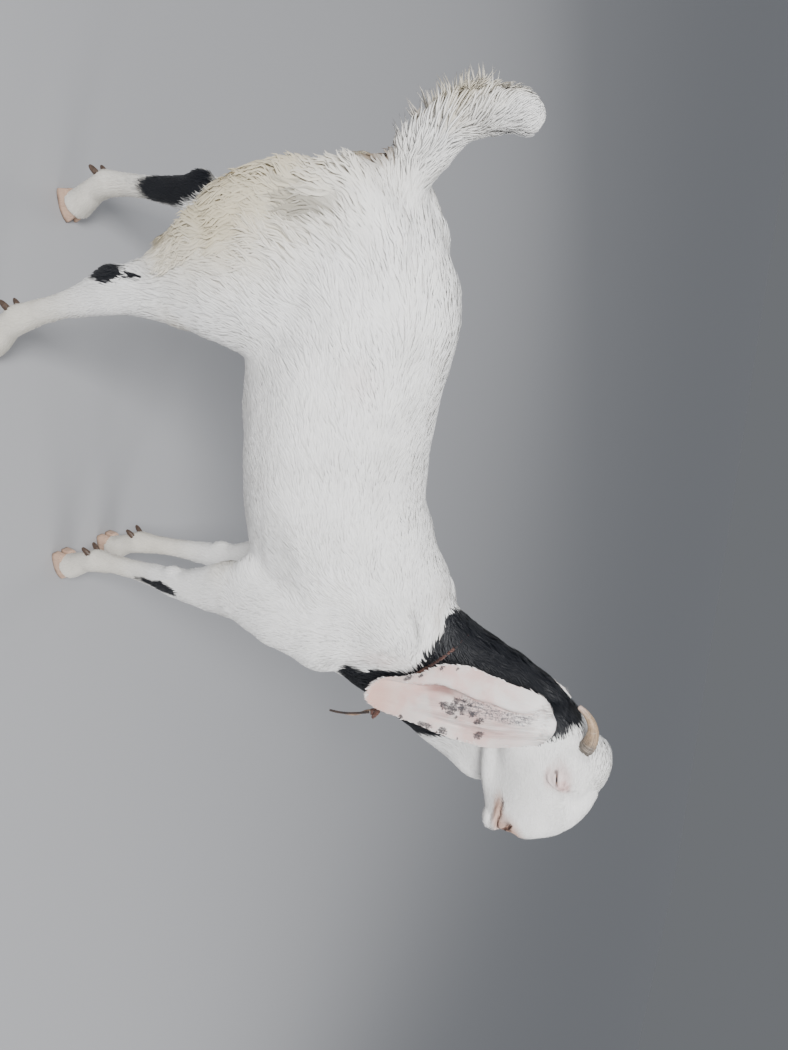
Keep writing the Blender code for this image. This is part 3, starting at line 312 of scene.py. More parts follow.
def twisted_cord_tree():
    """Sweeps three plies along a route, turned round it a set number of times in a metre."""
    tree = bpy.data.node_groups.new("twisted cord", "GeometryNodeTree")
    tree.interface.new_socket("Route", in_out="INPUT", socket_type="NodeSocketGeometry")
    for label in ("Radius", "Step", "Twist"):
        tree.interface.new_socket(label, in_out="INPUT", socket_type="NodeSocketFloat")
    tree.interface.new_socket("Finish", in_out="INPUT", socket_type="NodeSocketMaterial")
    tree.interface.new_socket("Cord", in_out="OUTPUT", socket_type="NodeSocketGeometry")
    given = tree.nodes.new("NodeGroupInput").outputs
    made = tree.nodes.new("NodeGroupOutput").inputs
    spaced = node(tree, "GeometryNodeResampleCurve",
                  {"Curve": given["Route"], "Length": given["Step"]}, mode="LENGTH")
    far = tree.nodes.new("GeometryNodeSplineParameter").outputs["Length"]
    tilt = mul(tree, mul(tree, far, given["Twist"]), 6.2832)
    turned = node(tree, "GeometryNodeSetCurveTilt", {"Curve": spaced["Curve"], "Tilt": tilt})
    marked = node(tree, "GeometryNodeStoreNamedAttribute",
                  {"Geometry": turned["Curve"], "Name": "far", "Value": far},
                  data_type="FLOAT", domain="POINT")
    bundle = tree.nodes.new("GeometryNodeJoinGeometry")
    for k in range(3):
        angle = 2 * math.pi * k / 3
        ply = node(tree, "GeometryNodeCurvePrimitiveCircle",
                   {"Resolution": PLY_SIDES, "Radius": mul(tree, given["Radius"], PLY_RADIUS)})
        off = merge(tree, mul(tree, given["Radius"], (1 - PLY_RADIUS) * math.cos(angle)),
                    mul(tree, given["Radius"], (1 - PLY_RADIUS) * math.sin(angle)))
        moved = node(tree, "GeometryNodeTransform", {"Geometry": ply["Curve"], "Translation": off})
        swept = node(tree, "GeometryNodeCurveToMesh", {"Curve": marked["Geometry"], "Fill Caps": True,
                                                       "Profile Curve": moved["Geometry"]})
        tree.links.new(swept["Mesh"], bundle.inputs[0])
    smooth = node(tree, "GeometryNodeSetShadeSmooth", {"Geometry": bundle.outputs[0]})
    real = node(tree, "GeometryNodeRealizeInstances", {"Geometry": smooth["Geometry"]})
    painted = node(tree, "GeometryNodeSetMaterial",
                   {"Geometry": real["Geometry"], "Material": given["Finish"]})
    feed(tree, made["Cord"], painted["Geometry"])
    return tree


cord_tree = twisted_cord_tree()


def twisted_cord(name, route, radius, closed, finish):
    """A mesh of twisted plies along a route of points."""
    curve = bpy.data.curves.new(name, "CURVE")
    curve.dimensions = "3D"
    line = curve.splines.new("POLY")
    line.points.add(len(route) - 1)
    for place, point in zip(line.points, route):
        place.co = (*(point - MIDDLE), 1)
    line.use_cyclic_u = closed
    carrier = link(bpy.data.objects.new(name, curve))
    sweep = carrier.modifiers.new("sweep", "NODES")
    sweep.node_group = cord_tree
    values = {"Radius": radius, "Step": PLY_STEP, "Twist": PLY_TWIST, "Finish": finish}
    for item in cord_tree.interface.items_tree:
        if item.name in values:
            sweep[item.identifier] = values[item.name]
    graph = bpy.context.evaluated_depsgraph_get()
    mesh = bpy.data.meshes.new_from_object(carrier.evaluated_get(graph))
    bpy.data.objects.remove(carrier)
    bpy.data.curves.remove(curve)
    piece = link(bpy.data.objects.new(name, mesh))
    mesh.name = name
    far = read_all(mesh.attributes["far"].data, "value", 1)[:, 0]
    mesh.attributes.remove(mesh.attributes["far"])
    keep_map(mesh, "ply", np.stack([np.arange(len(far)) % PLY_SIDES / PLY_SIDES, far, 0 * far], 1))
    return piece


def smooth_route(points, step):
    """Points at even steps along a smooth curve through the route's own points."""
    ends = [points[0] * 2 - points[1]] + points + [points[-1] * 2 - points[-2]]
    fine = []
    for i in range(1, len(ends) - 2):
        a, b, c, d = ends[i - 1:i + 3]
        for k in range(24):
            t = k / 24
            fine.append(0.5 * (2 * b + (c - a) * t + (2 * a - 5 * b + 4 * c - d) * t ** 2
                               + (3 * b - 3 * c + d - a) * t ** 3))
    fine.append(ends[-2])
    lengths = [0.0]
    for a, b in zip(fine, fine[1:]):
        lengths.append(lengths[-1] + (b - a).length)
    count = max(3, round(lengths[-1] / step))
    spread = []
    for k in range(count + 1):
        goal = lengths[-1] * k / count
        i = min(max(j for j, l in enumerate(lengths) if l <= goal + 1e-9), len(fine) - 2)
        f = (goal - lengths[i]) / (lengths[i + 1] - lengths[i])
        spread.append(fine[i].lerp(fine[i + 1], min(1.0, f)))
    return spread


def collar_route(count=60):
    """Points round the neck in the collar's slanting plane, pressed a little into the coat."""
    neck = bmesh.new()
    neck.from_mesh(frame["nodes"]["neck"].data)
    tree = BVHTree.FromBMesh(neck)
    neck.free()
    middle = (COLLAR_BACK + COLLAR_FRONT) / 2
    middle.y = COLLAR_MIDDLE_Y
    down = (COLLAR_FRONT - COLLAR_BACK).normalized()
    reach = []
    for k in range(count):
        turn = 2 * math.pi * k / count
        ray = down * math.cos(turn) + Vector((0, 1, 0)) * math.sin(turn)
        hub = middle + COLLAR_SAG * math.sin(turn) ** 2
        _, _, _, distance = tree.ray_cast(hub + ray * RAY_LENGTH - MIDDLE, -ray, RAY_LENGTH)
        reach.append((hub, ray, RAY_LENGTH - distance))
    points = []
    for k, (hub, ray, _) in enumerate(reach):
        near = [reach[(k + j) % count][2] for j in range(-2, 3)]
        sunk = COLLAR_RADIUS * 0.2 + COLLAR_SINK * max(0.0, -math.cos(2 * math.pi * k / count) - 0.3) / 0.7
        points.append(hub + ray * (sum(near) / 5 - sunk))
    return points


knot_low, knot_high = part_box("collar_knot")
knot_place = (knot_low + knot_high) / 2 + MIDDLE
collar_points = collar_route()
collar_paint = leather_paint("old leather cord", (0.060, 0.022, 0.016, 1), (0.165, 0.075, 0.055, 1))
dark_paint = leather_paint("dark cord end", (0.018, 0.012, 0.010, 1), (0.060, 0.034, 0.024, 1))
tan_paint = leather_paint("tan cord end", (0.20, 0.125, 0.085, 1), (0.42, 0.30, 0.21, 1))
collar = twisted_cord("collar", collar_points, COLLAR_RADIUS, True, collar_paint)
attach(collar, "root")
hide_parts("collar")

# The knot: two loops of the same cord drawn tight over the collar.
knot_out = (knot_place - (COLLAR_BACK + COLLAR_FRONT) / 2).normalized()
knot_across = Vector((0, 1, 0))
knot_up = knot_out.cross(knot_across).normalized()
knot_loop = []
for k in range(72):
    turn = 2 * math.pi * k / 72
    sideways = knot_across * (KNOT_RADII[1] - CORD_RADIUS) * math.sin(2 * turn) * 0.95
    up = knot_up * (KNOT_RADII[2] - CORD_RADIUS) * math.sin(turn)
    out = knot_out * (KNOT_RADII[0] - CORD_RADIUS) * math.cos(3 * turn) * 0.8
    knot_loop.append(knot_place + sideways + up + out)
knot = twisted_cord("collar_knot", knot_loop, CORD_RADIUS * 1.15, True, collar_paint)
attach(knot, "root")
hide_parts("collar_knot")

# The two loose ends hang from under the knot, cut off short.
for name, bends, finish in (("cord_dark", DARK_END, dark_paint), ("cord_tan", TAN_END, tan_paint)):
    start = knot_place + Vector((0, bends[0][1], -KNOT_RADII[2] - GAP))
    route = smooth_route([start + Vector(step) - Vector((0, bends[0][1], 0)) for step in bends], 0.003)
    loose = twisted_cord(name, route, CORD_RADIUS, False, finish)
    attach(loose, "root")
    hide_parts(name)
    length = sum((b - a).length for a, b in zip(route, route[1:]))

# The flesh: trunk, neck, head, legs and tail as tubes and masses that melt into one skin
# without a seam. Stations are the goat's own sizes in millimetres, which its solids have too.


def in_metres(rows):
    return tuple(tuple(value / 1000 for value in row) for row in rows)


# Trunk slices from rump to chest: x, top, bottom, half width.
TRUNK = in_metres(((-150, 735, 610, 45), (-125, 772, 560, 78), (-70, 800, 520, 102),
                   (0, 828, 500, 116), (65, 834, 498, 124), (130, 814, 502, 134),
                   (190, 794, 494, 140), (260, 778, 485, 142), (325, 774, 476, 139),
                   (390, 790, 466, 129), (450, 822, 462, 115), (500, 820, 462, 102),
                   (550, 792, 478, 90), (594, 745, 502, 71), (627, 690, 540, 45)))
# Neck slices: the nape's x and z, the throat's x and z, the middle's y, the half width.
NECK = in_metres(((440, 800, 622, 560, 0, 78), (494, 842, 664, 650, -2, 70),
                  (520, 905, 702, 725, -7, 60), (538, 962, 733, 790, -15, 53),
                  (556, 1006, 750, 842, -25, 48), (580, 1034, 750, 888, -35, 46),
                  (606, 1046, 715, 930, -42, 43)))
# Head slices from poll to lips: x, top, bottom, half widths of brow, middle and jaw.
HEAD = in_metres(((-44, 1026, 962, 28, 40, 36), (-24, 1050, 944, 36, 49, 43),
                  (0, 1068, 922, 46, 54, 42), (28, 1078, 911, 50, 56, 36),
                  (55, 1081, 905, 45, 52, 30), (85, 1080, 904, 34, 44, 26),
                  (112, 1071, 906, 27, 38, 24), (138, 1055, 911, 24, 34, 23),
                  (160, 1032, 916, 22, 30, 22), (174, 1005, 920, 20, 27, 20),
                  (183, 974, 926, 16, 21, 16)))
# Legs from top to foot: x, y, z, half depth, half width.
FORE_LEG = in_metres(((490, 62, 740, 50, 24), (500, 70, 690, 75, 36), (515, 76, 620, 83, 42),
                      (505, 80, 545, 75, 42), (492, 79, 490, 62, 37), (498, 75, 440, 50, 31),
                      (510, 71, 390, 40, 27), (516, 67, 345, 31, 25), (518, 64, 310, 28, 24.5),
                      (514, 62, 270, 23, 20), (514, 59, 210, 19, 16.5), (515, 56, 150, 19, 17),
                      (517, 55, 108, 23.5, 21.5), (525, 55, 75, 20, 21), (537, 55, 46, 23, 24.5),
                      (545, 55, 20, 27, 27)))
FORE_FEET = {"right": (0.0, -1), "left": (0.006, 1)}
HIND_RIGHT = in_metres(((0, -50, 780, 60, 30), (-24, -64, 720, 120, 46), (-23, -78, 650, 128, 48),
                        (-14, -88, 580, 124, 47), (-5, -95, 520, 101, 42), (2, -100, 460, 68, 34),
                        (9, -103, 405, 45, 27), (11, -105, 360, 37, 24), (14, -106, 320, 36, 23.5),
                        (26, -107, 270, 26, 20.5), (36, -108, 215, 20.5, 18),
                        (48, -109, 155, 20.5, 18), (58, -110, 110, 24.5, 22),
                        (74, -111, 76, 20.5, 21.5), (92, -112, 46, 23, 24.5),
                        (103, -112, 20, 27, 27)))
HIND_LEFT = in_metres(((-4, 50, 780, 60, 30), (-32, 64, 720, 114, 46), (-42, 78, 650, 117, 48),
                       (-40, 88, 580, 108, 47), (-40, 96, 520, 86, 42), (-62, 102, 460, 60, 34),
                       (-88, 107, 405, 43, 27), (-106, 110, 360, 37, 24), (-118, 112, 320, 36, 23.5),
                       (-126, 114, 270, 26, 20.5), (-134, 116, 215, 20.5, 18),
                       (-142, 118, 155, 20.5, 18), (-146, 119, 110, 24.5, 22),
                       (-136, 120, 76, 20.5, 21.5), (-122, 120, 46, 23, 24.5),
                       (-112, 120, 20, 27, 27)))
TAIL = in_metres(((-100, 0, 745, 30, 36), (-135, 0, 778, 32, 34), (-160, 0, 808, 30, 30),
                  (-176, 0, 840, 27, 27), (-183, 0, 875, 26, 26), (-181, 0, 908, 25, 25),
                  (-172, 0, 932, 18, 18), (-168, 0, 940, 10, 10)))
# Where the lips meet, the slit between the lids, both in the head's frame.
MOUTH_CORNER = Vector((0.122, 0.030, 0.953))
MOUTH_FRONT = Vector((0.184, 0.000, 0.940))
SLIT_MATRIX = Matrix.Rotation(math.radians(12), 2)
SLIT_HALF = 0.0122
SLIT_OPEN = 0.0008
BODY_VOXEL = 0.0050
SKIN_VOXEL = 0.0021
SKIN_TRIANGLES = 150000


def tube(name, rings):
    """A closed skin of triangles through rings of equal count."""
    count = len(rings[0])
    points = [p for ring in rings for p in ring]
    faces = []
    for r in range(len(rings) - 1):
        low, high = r * count, (r + 1) * count
        for i in range(count):
            j = (i + 1) % count
            faces += [(low + i, low + j, high + j), (low + i, high + j, high + i)]
    faces.append(tuple(range(count))[::-1])
    faces.append(tuple(range(len(points) - count, len(points))))
    mesh = bmesh.new()
    placed = [mesh.verts.new(p) for p in points]
    for face in faces:
        mesh.faces.new([placed[i] for i in face])
    bmesh.ops.recalc_face_normals(mesh, faces=mesh.faces)
    return to_object(name, mesh)


def slice_ring(x, top, bottom, widths, place=None, sides=28):
    """An egg-shaped ring across the body, with half widths at its top, middle and bottom."""
    ring = []
    high, middle, low = widths
    for k in range(sides):
        turn = 2 * math.pi * k / sides
        up, side = math.cos(turn), math.sin(turn)
        width = middle + (high - middle) * max(up, 0) ** 1.3 + (low - middle) * max(-up, 0) ** 1.3
        y = width * math.copysign(abs(side) ** 0.9, side)
        z = (top + bottom) / 2 + (top - bottom) / 2 * math.copysign(abs(up) ** 0.95, up)
        ring.append(place(x, y, z) if place else Vector((x, y, z)))
    return ring


def limb(name, stations, across=Vector((1, 0, 0)), sides=20, blunt=2.0):
    """A tube through stations of x, y, z, half depth along across, and half width."""
    centres = [Vector(s[:3]) for s in stations]
    rings = []
    for i, station in enumerate(stations):
        along = (centres[min(i + 1, len(centres) - 1)] - centres[max(i - 1, 0)]).normalized()
        deep = (across - along * across.dot(along)).normalized()
        wide = along.cross(deep)
        ring = []
        for k in range(sides):
            c, s = math.cos(2 * math.pi * k / sides), math.sin(2 * math.pi * k / sides)
            c = math.copysign(abs(c) ** (2 / blunt), c)
            s = math.copysign(abs(s) ** (2 / blunt), s)
            ring.append(centres[i] + deep * (station[3] * c) + wide * (station[4] * s))
        rings.append(ring)
    return tube(name, rings)


def ball(name, centre, radii, turn=(0, 0, 0)):
    """An ellipsoid."""
    mesh = bmesh.new()
    bmesh.ops.create_uvsphere(mesh, u_segments=24, v_segments=12, radius=1)
    turned = Euler(turn).to_matrix().to_4x4()
    shape = Matrix.Translation(Vector(centre)) @ turned @ Matrix.Diagonal((*radii, 1))
    bmesh.ops.transform(mesh, matrix=shape, verts=mesh.verts)
    return to_object(name, mesh)


def remove(thing):
    data = thing.data
    bpy.data.objects.remove(thing)
    bpy.data.meshes.remove(data)


def join(name, things):
    """One mesh of several closed ones."""
    mesh = bmesh.new()
    for thing in things:
        mesh.from_mesh(thing.data)
        remove(thing)
    return to_object(name, mesh)


def settle(thing):
    """Replaces a mesh by what its modifiers make of it."""
    graph = bpy.context.evaluated_depsgraph_get()
    data = bpy.data.meshes.new_from_object(thing.evaluated_get(graph))
    old = thing.data
    thing.modifiers.clear()
    thing.data = data
    bpy.data.meshes.remove(old)
    return thing


def melt(thing, voxel):
    """One skin over joined masses."""
    skin_over = thing.modifiers.new("melt", "REMESH")
    skin_over.mode = "VOXEL"
    skin_over.voxel_size = voxel
    return settle(thing)


def soften(thing, rounds, share=None):
    """Smooths a mesh, by the share of each point if one is given."""
    ease = thing.modifiers.new("soften", "SMOOTH")
    ease.factor = 0.5
    ease.iterations = rounds
    if share is not None:
        group = thing.vertex_groups.new(name="share")
        for i, amount in enumerate(share.tolist()):
            group.add([i], amount, "REPLACE")
        ease.vertex_group = "share"
    settle(thing)
    thing.vertex_groups.clear()
    return thing


def points_of(data):
    return read_all(data.vertices, "co").astype(np.float64)


def normals_of(data):
    return read_all(data.vertex_normals, "vector").astype(np.float64)


def set_points(data, places):
    data.vertices.foreach_set("co", np.asarray(places, np.float32).ravel())
    data.update()


def ramp(value, low, high):
    """0 below low, 1 above high, eased between."""
    t = np.clip((value - low) / (high - low), 0, 1)
    return t * t * (3 - 2 * t)


def broadness(places):
    """How far the skin is smoothed: fully on the trunk, little on legs, head and tail."""
    x, z = places[:, 0], places[:, 2]
    share = np.clip((z - 0.44) / 0.10, 0.10, 1.0)
    share = np.where((x > 0.57) & (z > 0.86), 0.5, share)
    return np.where((x < -0.13) & (z > 0.76), 0.15, share)


def mouth_line(t, out=0.0, rise=0.0):
    """The line where the lips meet: t runs from -1, the right corner, to 1, the left one."""
    swing = t * math.pi / 2
    x = MOUTH_CORNER.x + (MOUTH_FRONT.x - MOUTH_CORNER.x + out) * math.cos(swing) ** 0.75
    y = (MOUTH_CORNER.y - 0.006 + out) * math.sin(swing)
    y = math.copysign(abs(y) + 0.006 * abs(t) ** 3, y)
    z = MOUTH_FRONT.z + (MOUTH_CORNER.z - MOUTH_FRONT.z) * abs(t) ** 2.2 + rise
    return head_point(x, y, z)


def lip(name, rise, radius, out):
    stations = []
    for k in range(17):
        t = -1 + k / 8
        size = radius * (1 - 0.55 * abs(t) ** 2)
        stations.append((*mouth_line(t * 0.98, out, rise), size, size))
    return limb(name, stations, across=Vector((0, 0, 1)), sides=12)


def eye_arc(name, side, rise, radius, half):
    """A lid's rim: a thin tube that arches over or under the slit."""
    stations = []
    for k in range(13):
        t = -1 + k / 6
        x, z = SLIT_MATRIX @ Vector((half * t, rise * (1 - t * t)))
        out = 0.0150 * math.sqrt(max(0.0, 1 - (x / 0.021) ** 2 - (z / 0.022) ** 2))
        size = radius * (1 - 0.35 * t * t)
        stations.append((*head_point(EYE.x + x, side * (EYE.y + out), EYE.z + z), size, size))
    return limb(name, stations, across=Vector((0, 0, 1)), sides=10)


def head_masses():
    """The broad masses of the head."""
    rings = [slice_ring(x, top, bottom, widths, place=head_point) for x, top, bottom, *widths in HEAD]
    forms = [tube("skull", rings)]
    for side in (-1, 1):
        forms.append(ball("brow", head_point(0.042, side * 0.034, 1.042), (0.042, 0.020, 0.034)))
        forms.append(ball("cheek", head_point(0.034, side * 0.034, 0.982), (0.052, 0.019, 0.046)))
        forms.append(ball("jaw", head_point(0.075, side * 0.018, 0.920), (0.070, 0.012, 0.014)))
        bridge = head_point(0.120, side * 0.014, 1.030)
        forms.append(ball("nasal", bridge, (0.040, 0.016, 0.020), (0, 0.7, 0)))
    forms.append(ball("crown", head_point(0.034, 0, 1.071), (0.038, 0.033, 0.021)))
    forms.append(ball("throat", (0.720, -0.036, 0.874), (0.040, 0.026, 0.050), (0, 0.5, 0)))
    return forms


def head_details():
    """What is finer: lids, nose wings, lips and chin."""
    forms = []
    for side in (-1, 1):
        forms.append(ball("lids", head_point(EYE.x, side * EYE.y, EYE.z), (0.0225, 0.0158, 0.0185)))
        forms.append(eye_arc("upper_rim", side, 0.0050, 0.0022, 0.0138))
        forms.append(eye_arc("lower_rim", side, -0.0044, 0.0019, 0.0134))
        forms.append(eye_arc("brow_fold", side, 0.0140, 0.0030, 0.0190))
        forms.append(eye_arc("under_fold", side, -0.0125, 0.0024, 0.0175))
        forms.append(ball("nose_wing", head_point(0.165, side * 0.016, 0.974), (0.015, 0.010, 0.012)))
    forms.append(ball("chin", head_point(0.164, 0, 0.926), (0.022, 0.018, 0.012)))
    forms.append(lip("upper_lip", 0.0062, 0.0068, -0.0035))
    forms.append(lip("lower_lip", -0.0062, 0.0062, -0.0045))
    return forms


def leg_forms():
    forms = []
    for side, (shift, sign) in FORE_FEET.items():
        stations = [(x + shift, sign * y, z, deep, wide) for x, y, z, deep, wide in FORE_LEG]
        forms.append(limb("fore_" + side, stations, blunt=2.2))
        forms.append(ball("elbow", (0.448 + shift, sign * 0.084, 0.515), (0.030, 0.022, 0.040)))
        forms.append(ball("wrist", (0.503 + shift, sign * 0.066, 0.316), (0.022, 0.017, 0.028)))
        forms.append(ball("blade", (0.490, sign * 0.072, 0.690), (0.080, 0.034, 0.120), (0, 0.3, 0)))
        forms.append(ball("point", (0.571, sign * 0.062, 0.610), (0.048, 0.036, 0.060)))
    for name, stations in (("hind_right", HIND_RIGHT), ("hind_left", HIND_LEFT)):
        forms.append(limb(name, stations, blunt=2.2))
        hock, stifle = stations[8], stations[4]
        forms.append(ball("heel", (hock[0] - 0.026, hock[1], hock[2] + 0.012), (0.016, 0.014, 0.030)))
        forms.append(ball("stifle", (stifle[0] + 0.058, stifle[1] - math.copysign(0.004, stifle[1]),
                                     stifle[2] + 0.020), (0.036, 0.032, 0.050)))
    return forms


# Hollows and swellings that muscle, ribs and gut give the sides: a middle, radii, and how
# far the skin moves out.
RELIEF = (
    ((0.110, 0.115, 0.735), (0.055, 0.06, 0.035), -0.0060),
    ((0.020, 0.095, 0.800), (0.040, 0.04, 0.022), 0.0035),
    ((0.395, 0.130, 0.620), (0.028, 0.06, 0.110), -0.0055),
    ((0.540, 0.095, 0.742), (0.022, 0.05, 0.060), -0.0040),
    ((0.250, 0.145, 0.600), (0.110, 0.06, 0.080), 0.0030),
    ((0.085, 0.120, 0.600), (0.024, 0.05, 0.080), -0.0055),
    ((0.030, 0.105, 0.700), (0.050, 0.05, 0.070), 0.0030),
    ((-0.050, 0.080, 0.770), (0.030, 0.04, 0.030), -0.0030),
    ((0.470, 0.110, 0.470), (0.030, 0.05, 0.030), -0.0035),
    ((0.500, 0.105, 0.600), (0.030, 0.05, 0.060), 0.0030),
    ((0.397, 0.085, 0.806), (0.014, 0.04, 0.010), -0.0030),
    ((0.452, 0.070, 0.834), (0.016, 0.03, 0.007), 0.0026),
    ((0.478, 0.080, 0.798), (0.018, 0.03, 0.007), 0.0026),
    ((0.506, 0.070, 0.812), (0.010, 0.03, 0.010), -0.0022),
)


def relief(data):
    places, ways = points_of(data), normals_of(data)
    push = np.zeros(len(places))
    for (x, y, z), (a, b, c), rise in RELIEF:
        reach = ((places[:, 0] - x) / a) ** 2 + ((np.abs(places[:, 1]) - y) / b) ** 2
        push += rise * np.exp(-reach - ((places[:, 2] - z) / c) ** 2)
    set_points(data, places + ways * push[:, None])


def set_back(data):
    """Draws nose pad and upper lip back under the bridge, as a strong jaw leaves them."""
    places = points_of(data)
    turn = np.array(Matrix.Rotation(HEAD_TURN, 3, "Z"))
    own = (places - np.array(HEAD_PLACE)) @ turn
    share = ramp(own[:, 0], 0.140, 0.180) * ramp(own[:, 2], 0.9385, 0.9470)
    share = share * (1 - ramp(own[:, 2], 0.962, 0.990))
    set_points(data, places - np.outer(share * 0.0085, turn[:, 0]))


def headness(places):
    """0 on the neck and the trunk, 1 on the head."""
    ahead = (places[:, 0] - 0.600) * 0.80 + (places[:, 2] - 0.940) * 0.60
    return ramp(ahead, 0.0, 0.045) * ramp(places[:, 2], 0.84, 0.90)


def coat_depth(places):
    """How deep the skin lies under the coat's surface."""
    x, y, z = places[:, 0], places[:, 1], places[:, 2]
    deep = 0.0012 + 0.0008 * ramp(z, 0.06, 0.30) + 0.0016 * ramp(z, 0.36, 0.52)
    breech = ramp(-x, 0.02, 0.09) * ramp(z, 0.42, 0.52) * (1 - ramp(z, 0.72, 0.76))
    deep = deep + 0.0022 * breech
    tail = ramp(-x, 0.135, 0.155) * ramp(z, 0.76, 0.80)
    deep = deep + tail * (0.0020 - 0.0045 * ramp(z, 0.90, 0.93))
    neck_part = ramp(x, 0.50, 0.56) * ramp(z, 0.70, 0.80)
    deep = deep - 0.0006 * neck_part
    return deep + (0.0010 - deep) * headness(places)


body = join("body", [
    tube("trunk", [slice_ring(x, top, bottom, (half * 0.78, half, half * 0.82))
                   for x, top, bottom, half in TRUNK]),
    tube("neck", [[Vector(((a + c) / 2 + (c - a) / 2 * math.cos(2 * math.pi * k / 24),
                           y + half * math.sin(2 * math.pi * k / 24),
                           (b + d) / 2 + (d - b) / 2 * math.cos(2 * math.pi * k / 24)))
                   for k in range(24)] for a, b, c, d, y, half in NECK]),
    *head_masses(), *leg_forms(), limb("tail", TAIL),
    ball("croup", (-0.105, 0, 0.745), (0.045, 0.060, 0.040))])
melt(body, BODY_VOXEL)
soften(body, 40, broadness(points_of(body.data)))
relief(body.data)
skin = melt(join("skin", [body] + head_details()), SKIN_VOXEL)
soften(skin, 2)
set_back(skin.data)
flesh_places = points_of(skin.data)
set_points(skin.data, flesh_places - normals_of(skin.data) * coat_depth(flesh_places)[:, None])
keep_fine = skin.vertex_groups.new(name="fine")
flesh_places = points_of(skin.data)
coarse = 1 - 0.92 * np.maximum(headness(flesh_places), ramp(-flesh_places[:, 2], -0.12, -0.06))
for i, amount in enumerate(coarse.tolist()):
    keep_fine.add([i], amount, "REPLACE")
fewer = skin.modifiers.new("fewer", "DECIMATE")
fewer.ratio = SKIN_TRIANGLES / (2 * len(skin.data.polygons))
fewer.vertex_group = "fine"
fewer.vertex_group_factor = 1.0
settle(skin)
skin.vertex_groups.clear()


def slit_tool(side):
    """The opening between the lids: a lens cut in as deep as the eye's middle."""
    rings = []
    for depth, grow in ((-0.002, 0.7), (0.010, 0.9), (0.016, 1.0), (0.024, 1.5)):
        ring = []
        for k in range(20):
            turn = 2 * math.pi * k / 20
            x, z = SLIT_MATRIX @ Vector((SLIT_HALF * math.cos(turn), SLIT_OPEN * grow * math.sin(turn)))
            ring.append(head_point(EYE.x + x, side * (EYE.y + depth), EYE.z + z))
        rings.append(ring)
    return tube("slit", rings)


def mouth_tool():
    """A thin wedge along the lips' line from corner to corner."""
    rings = []
    for k in range(25):
        t = (-1 + k / 12) * 0.97
        inner, outer = mouth_line(t, -0.0075, 0.0), mouth_line(t, 0.008, 0.0)
        half = 0.0013 * (1 - 0.4 * t * t)
        rings.append([inner + Vector((0, 0, 0.0003)), inner - Vector((0, 0, 0.0003)),
                      outer - Vector((0, 0, half)), outer + Vector((0, 0, half))])
    return tube("mouth", rings)


def nostril_tool(side):
    """A comma-shaped pit in the wing of the nose."""
    stations = []
    for k in range(7):
        t = k / 6
        x, y, z = 0.170 - 0.019 * t, 0.0165 + 0.0135 * t ** 0.8, 0.951 + 0.018 * math.sin(1.3 * t)
        size = 0.0040 * (1 - 0.35 * t)
        stations.append((*head_point(x, side * y, z), size, size * 1.2))
    return limb("nostril", stations, across=Vector((0, 0, 1)), sides=12)


cutters = bpy.data.collections.new("cutters")
bpy.context.scene.collection.children.link(cutters)
for tool in [mouth_tool()] + [make(side) for side in (-1, 1) for make in (slit_tool, nostril_tool)]:
    bpy.context.scene.collection.objects.unlink(tool)
    cutters.objects.link(tool)
cut = skin.modifiers.new("openings", "BOOLEAN")
cut.operand_type = "COLLECTION"
cut.collection = cutters
cut.operation = "DIFFERENCE"
cut.solver = "EXACT"
settle(skin)
for tool in list(cutters.objects):
    remove(tool)
bpy.data.collections.remove(cutters)
# The ears: long hanging leaves joined to the skin, cupped and folded along their length,
# thin at the rim. Each keeps its own across-and-along map, which its markings follow.
EAR_ROOT = Vector((0.585, -0.086, 1.018))
EAR_MIDDLE = Vector((0.578, -0.128, 0.890))
EAR_TIP = Vector((0.594, -0.120, 0.738))
EAR_FACE_TURN = math.radians(-27)
LEFT_EAR_SWING = math.radians(-16)
LEFT_EAR_SPLAY = math.radians(16)
LEFT_EAR_REAR = 0.76
LEFT_EAR_SHIFT = Vector((0.014, 0.004, -0.004))
EAR_PIVOT = Vector((0.612, 0.022, 1.018))
# The leaf's width before and behind its middle line, from root to tip, which is rounded off.
EAR_FRONT = ((0.0, 0.020), (0.06, 0.024), (0.16, 0.030), (0.28, 0.0375), (0.36, 0.0385), (0.46, 0.036),
             (0.60, 0.029), (0.72, 0.023), (0.84, 0.018), (1.0, 0.017))
EAR_BACK = ((0.0, 0.030), (0.06, 0.043), (0.16, 0.048), (0.28, 0.057), (0.40, 0.0645), (0.54, 0.0710),
            (0.60, 0.068), (0.66, 0.0585), (0.72, 0.048), (0.84, 0.038), (1.0, 0.034))
EAR_ROUND_FROM = 0.84
EAR_TOP_ROUND = 0.075
# The seam where the rolled rear rim ends: how far down, how far across.
EAR_SEAM = ((0.0, -0.66), (0.075, -0.58), (0.135, -0.31), (0.24, -0.27), (0.345, -0.34), (0.44, -0.36),
            (0.495, -0.43), (0.63, -0.55), (0.73, -0.66), (0.82, -0.80), (1.0, -0.95))
EAR_THICK = 0.0042
EAR_RELIEF = 1.3
EAR_ROWS = 90
EAR_COLUMNS = 57


def read_curve(points, t):
    """The curve's value, read straight between its points."""
    for (t0, a), (t1, b) in zip(points, points[1:]):
        if t <= t1:
            return a + (b - a) * (t - t0) / (t1 - t0)
    return points[-1][1]


def rounded(points, t, reach=0.035):
    return sum(read_curve(points, min(1.0, max(0.0, t + reach * k / 2))) for k in (-2, -1, 0, 1, 2)) / 5


def ridge(t, middle, half):
    return math.exp(-((t - middle) / half) ** 2)


